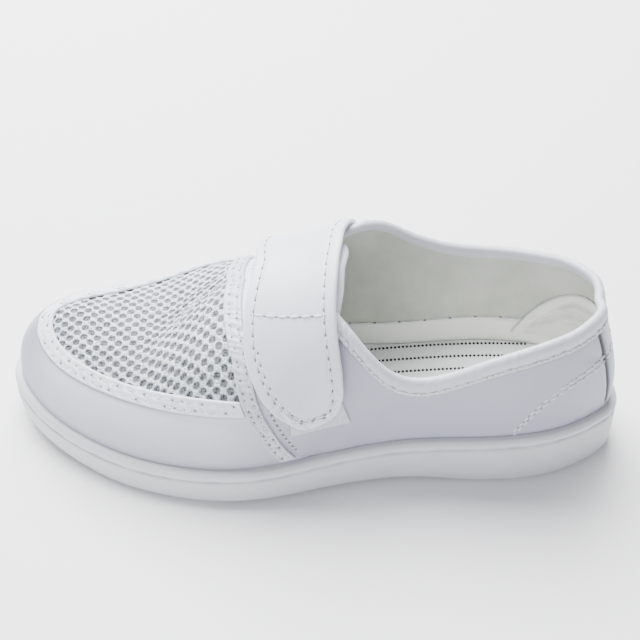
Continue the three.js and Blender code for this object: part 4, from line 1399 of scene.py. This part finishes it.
def strap_lift(height, share):
    """Clear height of the strap's underside: over the patches, over the instep, on the quarter."""
    stacked = 3 * GAP + 2 * PATCH_THICK
    bridge = mix(STRAP_FRONT_RISE, STRAP_REAR_RISE, share) + BINDING_THICK + GAP
    over = mix(stacked, bridge, ease(0.5, 0.95, height))
    return mix(over, GAP + BINDING_THICK + GAP, ease(1.12, 1.42, height))


def strap_point(height, share, lift):
    """Point over the instep at a share of the strap's width, front to rear."""
    station = mix(strap_front(height), strap_rear(height), share)
    return across(station, height, strap_lift(height, share) + lift)


def strap_grids():
    """Strap with round folded edges, a slight hollow inside the seam, furrows at the thread and
    puckers around its outer end."""
    s = dense_ends(STRAP_LENGTH, STRAP_ROUND, 0.9)[:, None] ** 1.35
    t = dense_ends(STRAP_WIDTH, STRAP_ROUND, 0.7)[None, :]
    height = mix(STRAP_FIRST, STRAP_LAST, s)
    mid = strap_point(height, t, STRAP_THICK)
    x, z = mid[..., 0], mid[..., 2]
    width = np.linalg.norm(mid[:, -1:] - mid[:, :1], axis=-1)
    border = np.concatenate([mid[::-1, 0], mid[0], mid[:, -1]])
    edge = distance_to(mid, border[::3])
    inside = np.where((t == 0) | (t == 1) | (s == 0), 0, edge_round(edge, STRAP_ROUND))
    inside = inside * edge_round((1 - s) * STRAP_LENGTH, STRAP_ROUND)
    furrow = -0.28 * np.exp(-((edge - STRAP_MARGIN) / 0.9) ** 2)
    soft = -0.35 * ease(STRAP_MARGIN, 14, edge) + 0.15 * np.sin(width * t / 6 + 12 * s) * ease(3, 9, edge)
    puckers = np.sin(1.5 * x + 2 * np.sin(0.7 * z)) * np.exp(-((edge - 3) / 2) ** 2)
    puckers += 0.6 * np.sin(2.3 * x - 1.7 * z) * np.exp(-((edge - 5) / 2) ** 2)
    soft += 0.42 * puckers * (1 - ease(0.27, 0.5, height))
    half = STRAP_THICK / 2 * inside
    top = strap_point(height, t, STRAP_THICK / 2 + half + inside * (furrow + soft))
    return [top, strap_point(height, t, STRAP_THICK / 2 - half)]


def strap_rows():
    """Rows of thread a margin inside the strap's edge, a second one close inside it around the
    end, and two across: where the fastener ends, and at the sewn medial end."""
    def width_at(height):
        return np.linalg.norm(strap_point(height, 1.0, 0) - strap_point(height, 0.0, 0), axis=-1)

    def around_end(margin, top_front, top_rear, low):
        front = np.linspace(top_front, STRAP_FIRST + low, 200)
        rear = np.linspace(STRAP_FIRST + low, top_rear, 200)
        before = np.stack([front, margin / width_at(front)], -1)
        behind = np.stack([rear, 1 - margin / width_at(rear)], -1)
        return np.concatenate([before, behind])

    def from_edge_to_edge(first, last):
        margin = STRAP_MARGIN / width_at(first)
        return np.stack([np.linspace(first, last, 60), np.linspace(margin, 1 - margin, 60)], -1)
    rows = [
        around_end(STRAP_MARGIN, STRAP_SEWN, STRAP_SEWN, 0.042),
        from_edge_to_edge(STRAP_SEWN, STRAP_SEWN),
        around_end(STRAP_MARGIN + 1.8, 0.6, 0.27, 0.052),
        from_edge_to_edge(*STRAP_CROSS),
    ]
    bed = STRAP_THICK - 0.12
    return [thread_path(lambda lift, row=row: strap_point(*row.T, bed + lift)) for row in rows]


strap = add_piece("strap_leather", strap_grids(), [strap_leather], ["strap"])
strap_seams = add_stitches("strap", strap_rows(), STRAP_STITCH, radius=0.36, hole=0.42, stretch=2)

# Heel grip
# A padded patch of lining cloth inside the heel, arched on top, with a bound edge that stands
# out a little from its quilted middle.
GRIP_THICK = 1.4
GRIP_REACH = 2.5
GRIP_EDGE = 4.5
GRIP_FOOT = 0.03
GRIP_TOP = 0.49
GRIP_LENGTH = 112
GRIP_HEIGHT = 38
GRIP_ROUND = 0.8
# Creases of the patch, as those of the leather: places, depth and width
GRIP_CREASES = [
    ([(19.7, 0.09), (20.3, 0.16), (21.1, 0.15)], 0.8, 1.6),
    ([(20.0, 0.15), (20.7, 0.25), (21.5, 0.24)], 0.9, 1.8),
    ([(20.3, 0.27), (20.6, 0.34), (21.3, 0.38)], 0.7, 1.5),
    ([(21.2, 0.08), (21.6, 0.18), (21.8, 0.3)], 0.7, 1.7),
    ([(0.3, 0.1), (0.8, 0.2), (1.5, 0.22)], 0.8, 1.8),
]


def grip_top(u):
    """Wall height of the grip's arched edge."""
    from_heel = np.minimum(np.mod(u, AROUND), AROUND - np.mod(u, AROUND)) / GRIP_REACH
    return GRIP_FOOT + (GRIP_TOP - GRIP_FOOT) * (1 - np.clip(from_heel, 0, 1) ** 3.4)


def grip_bed(u, v):
    """Face of the lining, on which the grip lies."""
    return skin(u, v, -(WALL + GAP))


def grip_grids():
    """Patch on the lining: the bound edge is a raised and gathered rim, the middle lower and
    wrinkled. The last channel marks the rim, which is lighter."""
    s = dense_ends(GRIP_LENGTH, 1, GRIP_ROUND)[:, None]
    t = dense_ends(GRIP_HEIGHT, 1, GRIP_ROUND)[None, :]
    u = np.mod(mix(-GRIP_REACH, GRIP_REACH, s), AROUND)
    v = mix(GRIP_FOOT, grip_top(u), t)
    base = grip_bed(u, v)
    edge = distance_to(base, base[::3, -1])
    rim = 1 - ease(GRIP_EDGE - 0.4, GRIP_EDGE + 0.4, edge)
    rounded = edge_round(edge, GRIP_ROUND) * edge_round(t * GRIP_HEIGHT, GRIP_ROUND)
    rounded = np.where((t == 1) | (s == 0) | (s == 1), 0, rounded)
    wrinkle = 0.3 * np.sin(9 * u + 14 * v) * np.sin(17 * v + 3 * u)
    wrinkle -= 0.2 * np.exp(-(edge / GRIP_EDGE - 1) ** 2 / 0.02)
    wrinkle += creased(base, GRIP_CREASES, grip_bed)
    gathers = 0.28 * np.sin(1.9 * arc_length(base) + 2 * np.sin(0.4 * edge)) * rim
    thick = rounded * (GRIP_THICK * mix(0.85, 1.1, rim) + (wrinkle + gathers) * ease(0, 2, edge))
    return [with_field(skin(u, v, -(WALL + GAP) - thick), mix(0.45, 0.8, rim)), with_field(base, 0)]


grip_cloth = lining_cloth("grip_cloth", "mark", 0.004, 0.45)
grip = add_piece("heel_grip_pad", grip_grids(), [grip_cloth], ["heel_grip"], ["mark"])
